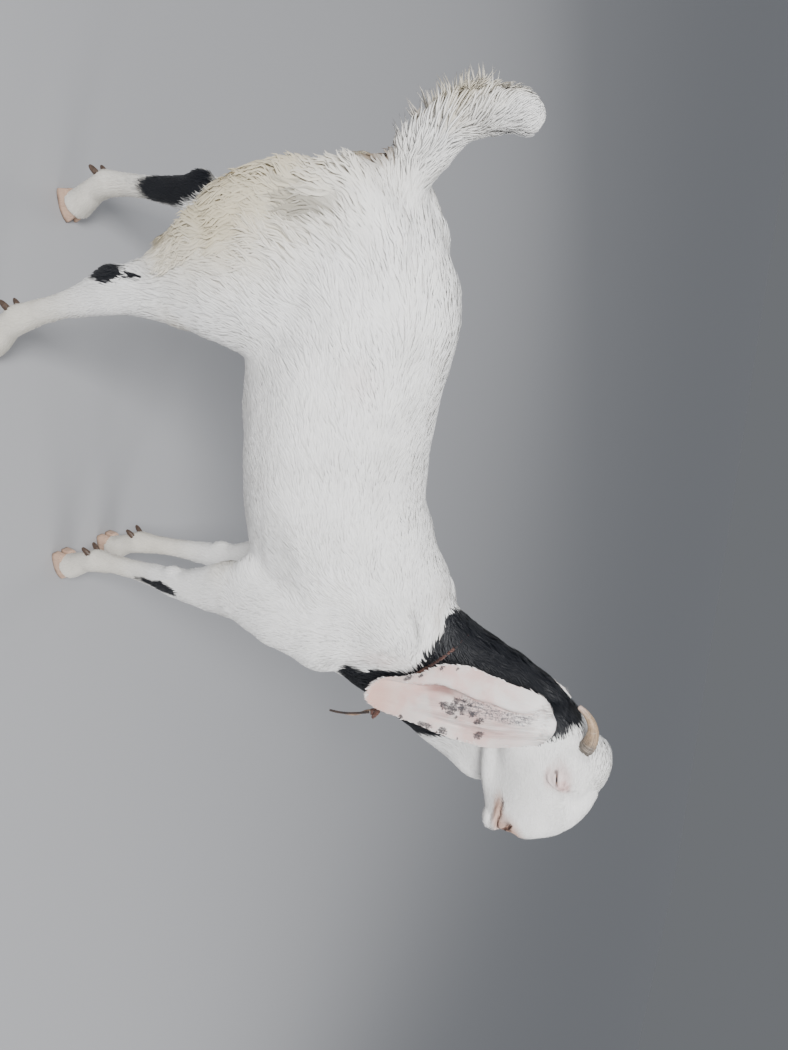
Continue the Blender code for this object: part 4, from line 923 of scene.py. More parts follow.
def ear_point(s, t, rear=1.0):
    """A point of the right ear's middle sheet, its outward way and half its thickness."""
    centre = EAR_ROOT * (1 - s) ** 2 + EAR_MIDDLE * (2 * s * (1 - s)) + EAR_TIP * s ** 2
    across = Vector((math.cos(EAR_FACE_TURN), math.sin(EAR_FACE_TURN), 0.0))
    outward = Vector((across.y, -across.x, 0.0))
    half = rounded(EAR_FRONT, s) if t > 0 else rounded(EAR_BACK, s) * rear
    if s > EAR_ROUND_FROM:
        half *= math.sqrt(max(0.0, 1 - ((s - EAR_ROUND_FROM) / (1.0015 - EAR_ROUND_FROM)) ** 2))
    if s < EAR_TOP_ROUND:
        half *= math.sqrt(max(0.0, 1 - 0.75 * (1 - s / EAR_TOP_ROUND) ** 2))
    half *= 1 + 0.012 * math.sin(23 * s + 2 * t) + 0.010 * math.sin(41 * s + 1.3)
    open_up = min(1.0, s / 0.3)
    cup = 0.020 * (1 - open_up) * t * t + 0.010 * open_up * abs(t) ** 2.4
    fade = float(ramp(s, 0.03, 0.13) * (1 - ramp(s, 0.76, 0.95)))
    # The rear rim rolls outward up to a sharp seam; a channel, a ridge and a furrow follow
    # before the front rim, and a deep pit under the seam's lower half.
    seam = rounded(EAR_SEAM, s)
    far = min(1.0, max(0.0, (t + 1) / (seam + 1)))
    roll = 0.0100 * (1 - (1 - far) ** 2) * float(1 - ramp(far, 0.88, 1.0)) if t < seam else 0.0
    gutter = -0.0052 * math.exp(-max(0.0, t - seam) / 0.16) * float(ramp(t, seam - 0.04, seam + 0.03))
    pit = -0.0055 * ridge(t, seam + 0.13, 0.12) * ridge(s, 0.60, 0.10)
    rim = 0.0030 * ridge(t, seam + 0.28, 0.07) * ridge(s, 0.62, 0.11)
    rib = 0.0046 * ridge(t, 0.28, 0.12) * float(1 - ramp(s, 0.55, 0.75))
    furrow = -0.0040 * ridge(t, 0.54, 0.11) * float(1 - ramp(s, 0.46, 0.62))
    ripple = 0.0016 * math.sin(17 * s + 3) * abs(t) ** 3
    ripple = ripple + 0.0007 * math.sin(31 * s + 5 * t) * math.sin(9 * t + 1)
    relief_out = EAR_RELIEF * fade * (roll + gutter + pit + rim + rib + furrow + ripple)
    point = centre + across * (half * t) + outward * (cup + relief_out - 0.004)
    thick = EAR_THICK * (1 - 0.72 * t * t) * (1.5 - 0.8 * open_up) / 2
    return point, outward, thick * float(1 - 0.5 * ramp(s, 0.9, 1.0))


def ear(side):
    """The right ear, or its mirror image swung to its own hang, with its map."""
    rings, leaf = [], []
    for i in range(EAR_ROWS + 1):
        s = math.sin(math.pi / 2 * (i / EAR_ROWS) ** 0.85)
        front, back = [], []
        for k in range(EAR_COLUMNS):
            t = math.sin(math.pi / 2 * (-1 + 2 * k / (EAR_COLUMNS - 1)))
            point, outward, thick = ear_point(s, t, LEFT_EAR_REAR if side > 0 else 1.0)
            front.append((point + outward * thick, (s, t, 1.0)))
            back.append((point - outward * thick, (s, t, -1.0)))
        ring = front + back[::-1]
        rings.append([p for p, _ in ring])
        leaf += [place for _, place in ring]
    thing = tube("ear", rings)
    if side > 0:
        to_head = Matrix.Rotation(-HEAD_TURN, 4, "Z") @ Matrix.Translation(-HEAD_PLACE)
        thing.data.transform(to_head.inverted() @ Matrix.Diagonal((1, -1, 1, 1)) @ to_head)
        thing.data.flip_normals()
        pivot = Matrix.Translation(EAR_PIVOT)
        swing = Matrix.Rotation(LEFT_EAR_SPLAY, 4, "X") @ Matrix.Rotation(LEFT_EAR_SWING, 4, "Y")
        thing.data.transform(Matrix.Translation(LEFT_EAR_SHIFT) @ pivot @ swing @ pivot.inverted())
    return thing, leaf


ears = [ear(-1), ear(1)]
skin_count = len(skin.data.vertices)
leaf_map = [(0.0, 0.0, 0.0)] * skin_count + ears[0][1] + ears[1][1]
skin_faces = len(skin.data.polygons)
skin = join("skin", [skin, ears[0][0], ears[1][0]])
keep_map(skin.data, "leaf", leaf_map)
skin.data.polygons.foreach_set("use_smooth", np.ones(len(skin.data.polygons), bool))

# The markings, which skin and coat share: a black neck between ragged borders, black
# patches on the legs, cream breeches, a brown stain under the tail, and pink skin that shows at
# the eyes, nose and lips. With them goes painted shade in the crease at the buttock and in the
# mouth, nostrils and eye slits. The pattern is laid out in the goat's own sizes.
WHITE_HAIR = (0.87, 0.86, 0.84, 1)
SHADED_WHITE = (0.76, 0.75, 0.73, 1)
BLACK_HAIR = (0.0040, 0.0048, 0.0075, 1)
CREAM_HAIR = (0.60, 0.53, 0.38, 1)
BROWN_HAIR = (0.24, 0.155, 0.085, 1)
# The dark olive of the painted shade in the crease between buttock and thigh.
PAINTED_CREASE_SHADE = (0.085, 0.075, 0.045, 1)
PINK_SKIN = (0.66, 0.44, 0.41, 1)
NOSE_SKIN = (0.57, 0.36, 0.275, 1)
# Painted shade for the line of the mouth, the nostrils and the eyes' slits.
OPENING_SHADE = (0.060, 0.034, 0.030, 1)
# The black neck's back border and its front border: height and x.
NECK_BACK_BORDER = ((0.640, 0.640), (0.674, 0.592), (0.710, 0.597), (0.740, 0.580), (0.790, 0.574),
                    (0.813, 0.545), (0.831, 0.508), (0.845, 0.480), (0.900, 0.470))
NECK_FRONT_BORDER = ((0.640, 0.800), (0.770, 0.760), (0.800, 0.704), (0.840, 0.684), (0.900, 0.646),
                     (0.960, 0.624), (1.000, 0.612), (1.020, 0.606), (1.060, 0.600))
BORDER_SPAN = (0.60, 1.10)
# How finely and how far the markings' edges waver.
BORDER_WAVES = ((22, 0.030), (120, 0.010))
BLACK_PATCHES = (
    ((0.523, -0.090, 0.282), (0.013, 0.020, 0.064)), ((-0.019, -0.122, 0.340), (0.020, 0.018, 0.042)),
    ((-0.010, -0.128, 0.399), (0.008, 0.010, 0.014)), ((-0.134, 0.100, 0.290), (0.034, 0.024, 0.090)),
    ((0.610, -0.103, 0.999), (0.006, 0.012, 0.011)),
    ((0.530, 0.080, 0.330), (0.014, 0.020, 0.030)), ((-0.006, 0.075, 0.400), (0.014, 0.010, 0.030)),
)
CREAM_PATCHES = (
    ((-0.130, 0.000, 0.560), (0.130, 0.30, 0.180)), ((-0.230, 0.000, 0.780), (0.060, 0.10, 0.120)),
    ((0.250, 0.000, 0.455), (0.200, 0.20, 0.045)),
)
LEG_CREAM = (((0.040, 0.000, 0.100), (0.300, 0.30, 0.150)), ((0.530, 0.000, 0.100), (0.100, 0.30, 0.140)))
# A brown stain under the tail and a fainter one on the withers, painted olive shade in the crease
# between buttock and thigh, and skin shining pink through the coat: colour, how strong, places and softness.
STAINS_AND_CREASE_SHADE = (
    (BROWN_HAIR, 0.80, (((-0.158, 0.0, 0.738), (0.046, 0.046, 0.040)),), 0.45),
    (BROWN_HAIR, 0.28, (((0.487, -0.050, 0.822), (0.045, 0.050, 0.007)),), 0.80),
    (PAINTED_CREASE_SHADE, 0.50, (((-0.084, -0.108, 0.702), (0.020, 0.030, 0.030)),), 0.60),
    (PINK_SKIN, 0.22, (((0.138, -0.130, 0.745), (0.028, 0.04, 0.024)),
                       ((0.556, -0.087, 0.749), (0.016, 0.03, 0.030)),
                       ((0.300, 0.130, 0.640), (0.040, 0.04, 0.040))), 0.80),
)
# Bare skin in the head's frame, on both sides: lids, nose and lips, then painted shade in the mouth,
# nostrils and the lids' slits, each with its share.
BARE_SKIN_AND_OPENING_SHADE = (
    (PINK_SKIN, (((EYE.x, EYE.y + 0.012, EYE.z + 0.004), (0.024, 0.020, 0.0150), 0.55),
                 ((EYE.x + 0.010, EYE.y + 0.012, EYE.z + 0.009), (0.014, 0.018, 0.010), 0.80),
                 ((EYE.x + 0.004, EYE.y + 0.012, EYE.z - 0.012), (0.020, 0.018, 0.006), 0.50))),
    (NOSE_SKIN, (((0.170, 0.014, 0.963), (0.029, 0.024, 0.021), 0.95),
                 ((0.150, 0.020, 0.946), (0.036, 0.022, 0.0100), 0.90))),
    (OPENING_SHADE, (((0.127, 0.030, 0.9525), (0.009, 0.010, 0.0022), 0.85),
                  ((0.143, 0.027, 0.9500), (0.013, 0.010, 0.0019), 0.85),
                  ((0.162, 0.021, 0.9455), (0.013, 0.012, 0.0019), 0.85),
                  ((0.162, 0.026, 0.9640), (0.012, 0.007, 0.0050), 0.85),
                  ((0.171, 0.017, 0.9560), (0.006, 0.007, 0.0070), 0.85),
                  ((EYE.x - 0.001, EYE.y + 0.014, EYE.z + 0.0004), (0.0135, 0.010, 0.0016), 0.80),
                  ((EYE.x - 0.011, EYE.y + 0.012, EYE.z - 0.0014), (0.0032, 0.010, 0.0030), 0.70))),
)


def spot(tree, place, centre, radii, inner, outer):
    """1 inside an egg-shaped patch, 0 outside it."""
    away = shift(tree, "DIVIDE", shift(tree, "SUBTRACT", place, centre), radii)
    return climb(tree, shift(tree, "LENGTH", away), outer, inner)


def any_spot(tree, place, patches, soft=0.25):
    share = 0.0
    for centre, radii in patches:
        share = calc(tree, "MAXIMUM", spot(tree, place, centre, radii, 1 - soft, 1 + soft), share)
    return share


def border(tree, height, points, bounds=BORDER_SPAN):
    """What a drawn curve reads at a height, within the bounds of heights it is drawn in."""
    low, span = bounds[0], bounds[1] - bounds[0]
    drawn = tree.nodes.new("ShaderNodeFloatCurve")
    line = drawn.mapping.curves[0]
    line.points[0].location = ((points[0][0] - low) / span, points[0][1])
    line.points[1].location = ((points[-1][0] - low) / span, points[-1][1])
    for z, x in points[1:-1]:
        line.points.new((z - low) / span, x)
    drawn.mapping.update()
    feed(tree, drawn.inputs["Value"], calc(tree, "DIVIDE", less(tree, height, low), span))
    return drawn.outputs[0]


def new_group(name, inputs, outputs):
    tree = bpy.data.node_groups.new(name, "ShaderNodeTree")
    for label, kind in inputs:
        tree.interface.new_socket(label, in_out="INPUT", socket_type=kind)
    for label, kind in outputs:
        tree.interface.new_socket(label, in_out="OUTPUT", socket_type=kind)
    return tree, tree.nodes.new("NodeGroupInput").outputs, tree.nodes.new("NodeGroupOutput").inputs


def use_group(tree, group, **values):
    step = tree.nodes.new("ShaderNodeGroup")
    step.node_tree = group
    for label, value in values.items():
        feed(tree, step.inputs[label], value)
    return step.outputs


marks_and_shade, given, put = new_group("goat markings and painted shade", [("Place", "NodeSocketVector")],
                              [("Colour", "NodeSocketColor"), ("Black", "NodeSocketFloat"),
                               ("Bare", "NodeSocketFloat")])
here = shift(marks_and_shade, "ADD", given["Place"], tuple(MIDDLE))
ragged = here
for scale, reach in BORDER_WAVES:
    ragged = shift(marks_and_shade, "ADD", ragged, shift(marks_and_shade, "SCALE", waver(marks_and_shade, here, scale, 2.0), reach))
along_x, _, height = split(marks_and_shade, ragged)
behind = less(marks_and_shade, along_x, border(marks_and_shade, height, NECK_BACK_BORDER))
ahead = less(marks_and_shade, border(marks_and_shade, height, NECK_FRONT_BORDER), along_x)
neck_black = mul(marks_and_shade, climb(marks_and_shade, behind, -0.003, 0.003), climb(marks_and_shade, ahead, -0.003, 0.003))
neck_black = mul(marks_and_shade, neck_black, climb(marks_and_shade, height, 0.648, 0.656))
black = calc(marks_and_shade, "MAXIMUM", neck_black, any_spot(marks_and_shade, ragged, BLACK_PATCHES, 0.15))
cream = calc(marks_and_shade, "MAXIMUM", any_spot(marks_and_shade, ragged, CREAM_PATCHES, 0.45),
             mul(marks_and_shade, any_spot(marks_and_shade, ragged, LEG_CREAM, 0.45), 0.45))
cream = mul(marks_and_shade, cream, climb(marks_and_shade, grain(marks_and_shade, here, 9, 2.0), 0.25, 0.65, 0.85, 1.0))
colour = tint(marks_and_shade, climb(marks_and_shade, grain(marks_and_shade, here, 14), 0.40, 0.78), WHITE_HAIR, SHADED_WHITE)
colour = tint(marks_and_shade, cream, colour, CREAM_HAIR)
# Brown stains, painted olive shade in the buttock's crease and pink skin, each laid over the colour so far.
for patch_tone, amount, patches, soft in STAINS_AND_CREASE_SHADE:
    colour = tint(marks_and_shade, mul(marks_and_shade, any_spot(marks_and_shade, ragged, patches, soft), amount), colour, patch_tone)
bare = 0.0
# Pink and tan bare skin, then painted shade in the mouth, nostrils and eye slits.
for skin_and_shade_colour, patches in BARE_SKIN_AND_OPENING_SHADE:
    share = 0.0
    for side in (-1, 1):
        for (x, y, z), radii, amount in patches:
            one = spot(marks_and_shade, here, tuple(head_point(x, side * y, z)), radii, 0.50, 1.50)
            share = calc(marks_and_shade, "MAXIMUM", mul(marks_and_shade, one, amount), share)
    colour = tint(marks_and_shade, share, colour, skin_and_shade_colour)
    bare = calc(marks_and_shade, "MAXIMUM", share, bare)
feed(marks_and_shade, put["Colour"], tint(marks_and_shade, black, colour, BLACK_HAIR))
feed(marks_and_shade, put["Black"], black)
feed(marks_and_shade, put["Bare"], bare)

# The skin's paint: short hair lying flat, as fine streaks along the body and down the
# legs, and smooth pink skin where it is bare.
SKIN_SPECULAR = 0.3
HAIR_SHADOW = (0.80, 0.78, 0.76, 1)
HAIR_LIGHT = (1.0, 1.0, 1.0, 1)
skin_paint, tree, face = new_paint("short hair over skin", 0.72)
place = own_place(tree)
marked = use_group(tree, marks_and_shade, Place=place)
on_trunk = climb(tree, split(tree, place)[2], 0.44, 0.56)
flank_hair = mul(tree, stretched(tree, place, (90.0, 620.0, 520.0), 3.0, 0.6), on_trunk)
leg_hair = mul(tree, stretched(tree, place, (900.0, 900.0, 130.0), 3.0, 0.6), less(tree, 1.0, on_trunk))
hair = add(tree, flank_hair, leg_hair)
pores = mul(tree, mul(tree, grain(tree, place, 700, 2.0), 0.35), marked["Bare"])
relief_map = add(tree, mul(tree, hair, less(tree, 1.0, marked["Bare"])), pores)
shade = tint(tree, climb(tree, hair, 0.30, 0.62), HAIR_SHADOW, HAIR_LIGHT)
mixed = node(tree, "ShaderNodeMix", {0: 0.7, 6: marked["Colour"], 7: shade}, data_type="RGBA",
             blend_type="MULTIPLY")[2]
face.inputs["Specular IOR Level"].default_value = SKIN_SPECULAR
dress(tree, face, mixed, climb(tree, marked["Black"], 0.0, 1.0, 0.74, 0.44), relief_map, 0.0009)

# The ears' paint: thin pink skin with painted shade along its lengthwise folds, a grey speckled
# channel, black spots near the middle and along the rims, and a paler tip.
EAR_WHITE = (0.74, 0.66, 0.62, 1)
EAR_PINK = (0.70, 0.475, 0.435, 1)
EAR_TIP_PINK = (0.76, 0.49, 0.41, 1)
# The colour of the painted shade in the seam, the pit and the front furrow.
EAR_CREASE_SHADE = (0.24, 0.125, 0.110, 1)
EAR_GREY = (0.088, 0.084, 0.094, 1)
EAR_BLACK = (0.020, 0.020, 0.026, 1)
EAR_PALE = (0.80, 0.78, 0.76, 1)
EAR_GLOW = 0.12
EAR_GLOW_REACH = (0.010, 0.004, 0.003)
# Spots on the leaf: how far down, how far across, their sizes there.
EAR_SPOTS = ((0.525, -0.24, 0.024, 0.090), (0.485, -0.11, 0.019, 0.072), (0.425, -0.02, 0.018, 0.066),
             (0.535, -0.10, 0.022, 0.072), (0.545, 0.04, 0.022, 0.078), (0.490, -0.29, 0.017, 0.060),
             (0.575, -0.11, 0.022, 0.084), (0.480, -0.01, 0.014, 0.048), (0.380, 0.15, 0.018, 0.108),
             (0.375, 0.65, 0.022, 0.132), (0.475, 0.98, 0.012, 0.096), (0.560, 0.86, 0.017, 0.144),
             (0.650, 0.95, 0.036, 0.204), (0.790, 0.95, 0.014, 0.144), (0.615, -0.94, 0.019, 0.072),
             (0.780, -0.95, 0.017, 0.108), (0.535, -0.95, 0.011, 0.048), (0.715, -0.93, 0.012, 0.060),
             (0.455, -0.20, 0.014, 0.060), (0.510, 0.14, 0.011, 0.048))


def between(tree, value, low, high, soft):
    """1 between low and high, easing off over soft on either side."""
    rising = climb(tree, value, low - soft, low + soft)
    return mul(tree, rising, climb(tree, value, high + soft, high - soft))


ear_paint, tree, face = new_paint("ear skin", 0.55, 0.1)
leaf_place = read_map(tree, "leaf")
place = own_place(tree)
down, leaf_across, face_side = split(tree, leaf_place)
drawn = shift(tree, "ADD", leaf_place, shift(tree, "MULTIPLY", waver(tree, place, 70), (0.06, 0.22, 0.0)))
fleck = shift(tree, "MULTIPLY", waver(tree, place, 380, 2.0), (0.04, 0.14, 0.0))
drawn_down, drawn_across, _ = split(tree, shift(tree, "ADD", drawn, fleck))
seam_place = border(tree, down, [(s, (t + 1) / 2) for s, t in EAR_SEAM], (0.0, 1.0))
seam_place = less(tree, mul(tree, 2.0, seam_place), 1.0)
past_seam = less(tree, leaf_across, seam_place)
past_drawn = less(tree, drawn_across, seam_place)
speckle = climb(tree, grain(tree, place, 330, 3.0, 0.75), 0.42, 0.62)
smear = climb(tree, stretched(tree, leaf_place, (9.0, 34.0, 1.0), 3.0, 0.6), 0.35, 0.65)
channel = mul(tree, between(tree, past_drawn, 0.03, 0.36, 0.05), between(tree, drawn_down, 0.11, 0.50, 0.05))
channel = mul(tree, channel, add(tree, mul(tree, speckle, 0.66), mul(tree, smear, 0.60)))
haze = mul(tree, between(tree, past_drawn, 0.30, 0.95, 0.12), between(tree, drawn_down, 0.16, 0.66, 0.10))
seam_line = mul(tree, between(tree, past_seam, -0.015, 0.030, 0.030), between(tree, down, 0.08, 0.80, 0.05))
pit = mul(tree, between(tree, past_seam, 0.02, 0.17, 0.05), between(tree, down, 0.53, 0.70, 0.06))
front_line = mul(tree, between(tree, leaf_across, 0.50, 0.56, 0.05), between(tree, down, 0.08, 0.46, 0.06))
ear_colour = tint(tree, climb(tree, grain(tree, place, 26), 0.35, 0.68), EAR_WHITE, EAR_PINK)
# A paler root, a pinker tip, the grey channel and haze, then painted shade along the seam, in the pit and
# along the front furrow.
for share, over in ((climb(tree, down, 0.02, 0.42, 0.85, 0.0), EAR_PALE),
                    (climb(tree, down, 0.70, 0.95, 0.0, 0.80), EAR_TIP_PINK),
                    (channel, EAR_GREY), (mul(tree, haze, mul(tree, smear, 0.34)), EAR_GREY),
                    (mul(tree, seam_line, 0.55), EAR_CREASE_SHADE), (mul(tree, pit, 0.85), EAR_CREASE_SHADE),
                    (mul(tree, front_line, 0.38), EAR_CREASE_SHADE)):
    ear_colour = tint(tree, share, ear_colour, over)
spots = 0.0
for s, t, tall, across in EAR_SPOTS:
    one = spot(tree, merge(tree, drawn_down, drawn_across), (s, t, 0.0), (tall, across, 1.0), 0.75, 1.25)
    spots = calc(tree, "MAXIMUM", one, spots)
spots = mul(tree, spots, climb(tree, grain(tree, place, 520, 2.0), 0.30, 0.50, 0.45, 1.0))
spots = mul(tree, spots, climb(tree, face_side, -0.2, 0.2, 0.15, 1.0))
ear_colour = tint(tree, mul(tree, spots, 0.92), ear_colour, EAR_BLACK)
veins = stretched(tree, leaf_place, (7.0, 26.0, 1.0), 4.0, 0.6)
down_fuzz = stretched(tree, place, (1300.0, 1300.0, 260.0), 2.0)
dress(tree, face, ear_colour, climb(tree, veins, 0.3, 0.7, 0.50, 0.68),
      add(tree, veins, mul(tree, down_fuzz, 0.35)), 0.0011, 0.7)
face.inputs["Subsurface Weight"].default_value = EAR_GLOW
face.inputs["Subsurface Radius"].default_value = EAR_GLOW_REACH

skin.data.materials.append(skin_paint)
skin.data.materials.append(ear_paint)
skin.data.polygons.foreach_set("material_index", np.r_[np.zeros(skin_faces, np.int32),
                               np.ones(len(skin.data.polygons) - skin_faces, np.int32)])

# The coat: tufts of hair rooted all over the skin, flat, tapered and three-sided, which
# overlap and lie back along the body. They are smallest on face and feet, raised along the
# croup, and grow into long waving locks on breeches and tail.
# The lie of the hair at places of the left side, lengths in millimetres: x, y, z, the way
# along x, y and z, length, width, how far it stands up as a share of the coat's depth, how
# far it waves as a share of its length, and how wide a place the row rules.
BODY_LIE = (
    (500, 50, 820, -1, 0, 0.1, 24, 3.4, 1, 0.03, 50), (440, 50, 810, -1, 0, -0.1, 24, 3.4, 1.1, 0.03, 60),
    (330, 50, 785, -1, 0, 0, 25, 3.6, 1.1, 0.03, 70), (200, 40, 795, -1, 0, 0.05, 27, 3.6, 1.2, 0.04, 70),
    (110, 20, 825, -1, 0, 0.18, 30, 3.6, 1.5, 0.05, 50),
    (30, 20, 838, -1, 0, 0.05, 32, 3.6, 1.6, 0.05, 50),
    (-50, 20, 820, -1, 0, -0.25, 30, 3.6, 1.4, 0.05, 50),
    (-105, 30, 790, -1, 0, 0.25, 26, 3.4, 1.1, 0.04, 30),
    (480, 90, 760, -0.75, 0, -0.6, 22, 3.4, 0.9, 0.03, 50),
    (500, 110, 680, -0.35, 0, -0.95, 20, 3.2, 0.9, 0.03, 50),
    (540, 100, 620, -0.15, 0, -1, 18, 3.2, 0.9, 0.03, 50),
    (500, 110, 560, -0.2, 0, -1, 18, 3.1, 0.9, 0.03, 50),
    (440, 120, 640, -0.85, 0, -0.5, 23, 3.4, 0.9, 0.04, 50),
    (360, 140, 690, -1, 0, -0.16, 25, 3.6, 0.9, 0.04, 70),
    (260, 140, 680, -1, 0, -0.14, 26, 3.6, 0.9, 0.04, 70),
    (150, 130, 710, -1, 0, -0.2, 27, 3.6, 1, 0.05, 60),
    (100, 120, 640, -0.85, 0, -0.5, 26, 3.6, 1, 0.05, 50),
    (350, 130, 580, -1, 0, -0.3, 25, 3.6, 0.9, 0.04, 70),
    (240, 130, 570, -1, 0, -0.34, 26, 3.6, 1, 0.05, 70),
    (400, 100, 500, -0.9, -0.1, -0.45, 24, 3.4, 1, 0.05, 50),
    (300, 100, 495, -0.85, -0.2, -0.4, 26, 3.6, 1.1, 0.05, 60),
    (180, 100, 505, -0.8, -0.2, -0.45, 28, 3.6, 1.2, 0.05, 60),
    (320, 20, 470, -1, 0, 0, 24, 3.8, 0.8, 0.04, 60), (150, 20, 500, -1, 0, 0.05, 24, 3.8, 0.8, 0.04, 60),
    (50, 110, 770, -1, 0, -0.35, 27, 3.5, 1, 0.04, 50),
    (10, 120, 700, -0.85, 0, -0.55, 28, 3.4, 1, 0.05, 50),
    (40, 120, 620, -0.6, 0, -0.8, 26, 3.4, 1, 0.05, 40),
    (70, 120, 540, -0.35, 0, -0.95, 24, 3.2, 0.9, 0.05, 40),
    (10, 120, 480, -0.1, 0, -1, 24, 3.1, 0.9, 0.05, 40),
    (-50, 110, 730, -0.7, 0, -0.7, 32, 3.8, 1.1, 0.07, 40),
    (-50, 120, 640, -0.3, 0, -0.95, 44, 4.3, 1, 0.15, 40),
    (-110, 90, 690, -0.25, 0, -1, 52, 4.8, 1, 0.17, 40),
    (-130, 80, 620, 0.05, 0, -1, 60, 5.2, 0.9, 0.2, 40),
    (-100, 100, 550, 0.3, 0, -0.95, 58, 5, 0.9, 0.2, 40),
    (-60, 110, 490, 0.5, 0, -0.85, 48, 4.5, 0.9, 0.18, 30),
    (-40, 50, 560, 0.1, 0, -1, 30, 4.5, 0.7, 0.05, 40),
    (-150, 20, 680, -0.15, 0, -1, 30, 4.2, 0.8, 0.08, 30), (630, 20, 640, 0, 0, -1, 22, 3.6, 1, 0.04, 50),
    (590, 50, 710, -0.3, 0, -0.95, 20, 3.4, 0.9, 0.04, 40),
    (590, 20, 540, -0.45, 0, -0.9, 26, 4.1, 1.1, 0.05, 40),
    (500, 20, 480, -0.9, 0, -0.2, 22, 3.8, 0.8, 0.04, 40),
    (590, 50, 860, -0.5, 0, -0.85, 19, 3.1, 0.9, 0.03, 50),
    (540, 30, 950, -0.5, 0, -0.86, 21, 3.2, 1, 0.04, 40),
    (500, 30, 870, -0.45, 0, -0.88, 22, 3.2, 1, 0.04, 40),
    (660, 50, 790, -0.4, 0, -0.9, 19, 3.1, 0.9, 0.04, 50),
    (730, 20, 800, -0.1, 0, -1, 21, 3.2, 1, 0.05, 40),
    (730, 20, 870, -0.2, 0, -0.98, 15, 2.7, 1, 0.04, 30),
    (700, 20, 720, -0.25, 0, -0.97, 21, 3.4, 0.9, 0.04, 40),
)
LEG_LIE = (
    (500, 70, 440, 0, 0, -1, 15, 2.6, 0.9, 0.03, 30), (510, 70, 370, 0, 0, -1, 12, 2.3, 1, 0.03, 30),
    (515, 60, 250, 0, 0, -1, 10, 2, 1, 0.03, 50), (515, 55, 130, -0.1, 0, -1, 10, 1.9, 1.3, 0.03, 30),
    (535, 55, 60, 0.2, 0, -1, 8, 1.7, 1.3, 0.02, 30), (10, 100, 380, 0, 0, -1, 17, 2.8, 1.1, 0.05, 30),
    (25, 110, 260, 0.1, 0, -1, 11, 2, 1, 0.03, 50), (50, 110, 140, 0, 0, -1, 10, 1.9, 1.3, 0.03, 30),
    (90, 110, 60, 0.3, 0, -1, 8, 1.7, 1.3, 0.02, 30),
    (-100, 110, 380, -0.3, 0, -1, 17, 2.8, 1.1, 0.05, 30),
    (-125, 110, 260, -0.1, 0, -1, 11, 2, 1, 0.03, 50), (-145, 120, 140, 0, 0, -1, 10, 1.9, 1.3, 0.03, 30),
    (-120, 120, 60, 0.3, 0, -1, 8, 1.7, 1.3, 0.02, 30),
)
TAIL_LIE = (
    (-130, 25, 800, -0.6, 0, 0.8, 24, 3.2, 1, 0.04, 18),
    (-150, 10, 840, -0.3, 0, 0.95, 20, 2.8, 0.9, 0.03, 16),
    (-156, 10, 890, 0, 0, 1, 17, 2.5, 0.9, 0.03, 16), (-170, 10, 935, -0.2, 0, 1, 13, 2.4, 0.9, 0.03, 14),
    (-205, 10, 915, -0.55, 0, 0.85, 22, 3, 1, 0.04, 14),
    (-210, 10, 880, -0.9, 0, 0.35, 34, 3.6, 1.4, 0.08, 16),
    (-208, 10, 845, -1, 0, 0.1, 48, 4.1, 1.5, 0.09, 16),
    (-195, 15, 805, -1, 0, -0.05, 54, 4.3, 1.5, 0.09, 18),
    (-175, 15, 770, -1, 0, -0.3, 54, 4.5, 1.5, 0.09, 18),
    (-180, 28, 860, -0.9, 0, 0.25, 40, 3.6, 1.1, 0.07, 14),
    (-170, 32, 815, -1, 0, 0, 46, 3.9, 1.1, 0.07, 16),
    (-150, 36, 780, -1, 0, -0.2, 44, 3.9, 1.1, 0.07, 18),
)
# The head's lie is given in the head's own frame.
HEAD_LIE = (
    (120, 0, 1068, 0.8, 0, -0.45, 6.5, 1.25, 1, 0.02, 22),
    (160, 0, 1030, 0.45, 0, -0.9, 5, 1.15, 1, 0.02, 20),
    (85, 20, 1075, 0.3, 0, 0.3, 7, 1.35, 1, 0.02, 18),
    (55, 0, 1085, -0.9, 0, 0.35, 11, 1.6, 3.4, 0.04, 18),
    (20, 10, 1085, -1, 0, -0.05, 15, 2, 4.2, 0.06, 18),
    (-15, 10, 1065, -0.95, 0, -0.45, 15, 2.2, 3, 0.06, 20),
    (10, 50, 1035, -0.9, 0, -0.4, 9, 1.6, 1, 0.03, 20),
    (50, 60, 990, -0.75, 0, -0.65, 7.5, 1.45, 1, 0.03, 25),
    (90, 40, 1000, -0.65, 0, -0.75, 6.5, 1.35, 1, 0.02, 22),
    (40, 40, 935, -0.75, 0, -0.6, 10, 1.8, 1.1, 0.04, 22),
    (90, 30, 925, -0.9, 0, -0.3, 9, 1.6, 1.1, 0.04, 22),
    (140, 30, 985, -0.55, 0, -0.8, 5, 1.15, 1, 0.02, 20),
    (170, 20, 980, -0.3, 0.1, -0.9, 3.8, 1, 1, 0.02, 14),
    (150, 20, 925, -0.9, 0, -0.45, 8, 1.4, 1.3, 0.04, 16),
    (165, 0, 918, -0.75, 0, -0.7, 9, 1.5, 1.5, 0.05, 14),
    (100, 0, 905, -1, 0, -0.15, 9, 1.7, 1, 0.04, 25),
    (47, 50, 1052, -0.8, 0, 0.5, 5, 1.15, 0.9, 0.02, 12),
    (47, 55, 1012, -0.7, 0, -0.7, 5, 1.15, 0.9, 0.02, 12),
    (-30, 40, 990, -0.6, 0, -0.8, 14, 2.2, 1, 0.04, 25),
)


def both_sides(rows, in_head=False):
    """The rows and their mirror images, with places and ways brought out of the head's frame."""
    done = []
    for x, y, z, a, b, c, *sizes, reach in rows:
        for side in (1, -1):
            place, way = (x / 1000, side * y / 1000, z / 1000), (a, side * b, c)
            if in_head:
                place, way = head_point(*place), Matrix.Rotation(HEAD_TURN, 3, "Z") @ Vector(way)
            done.append((*place, *way, *sizes, reach / 1000))
    return done


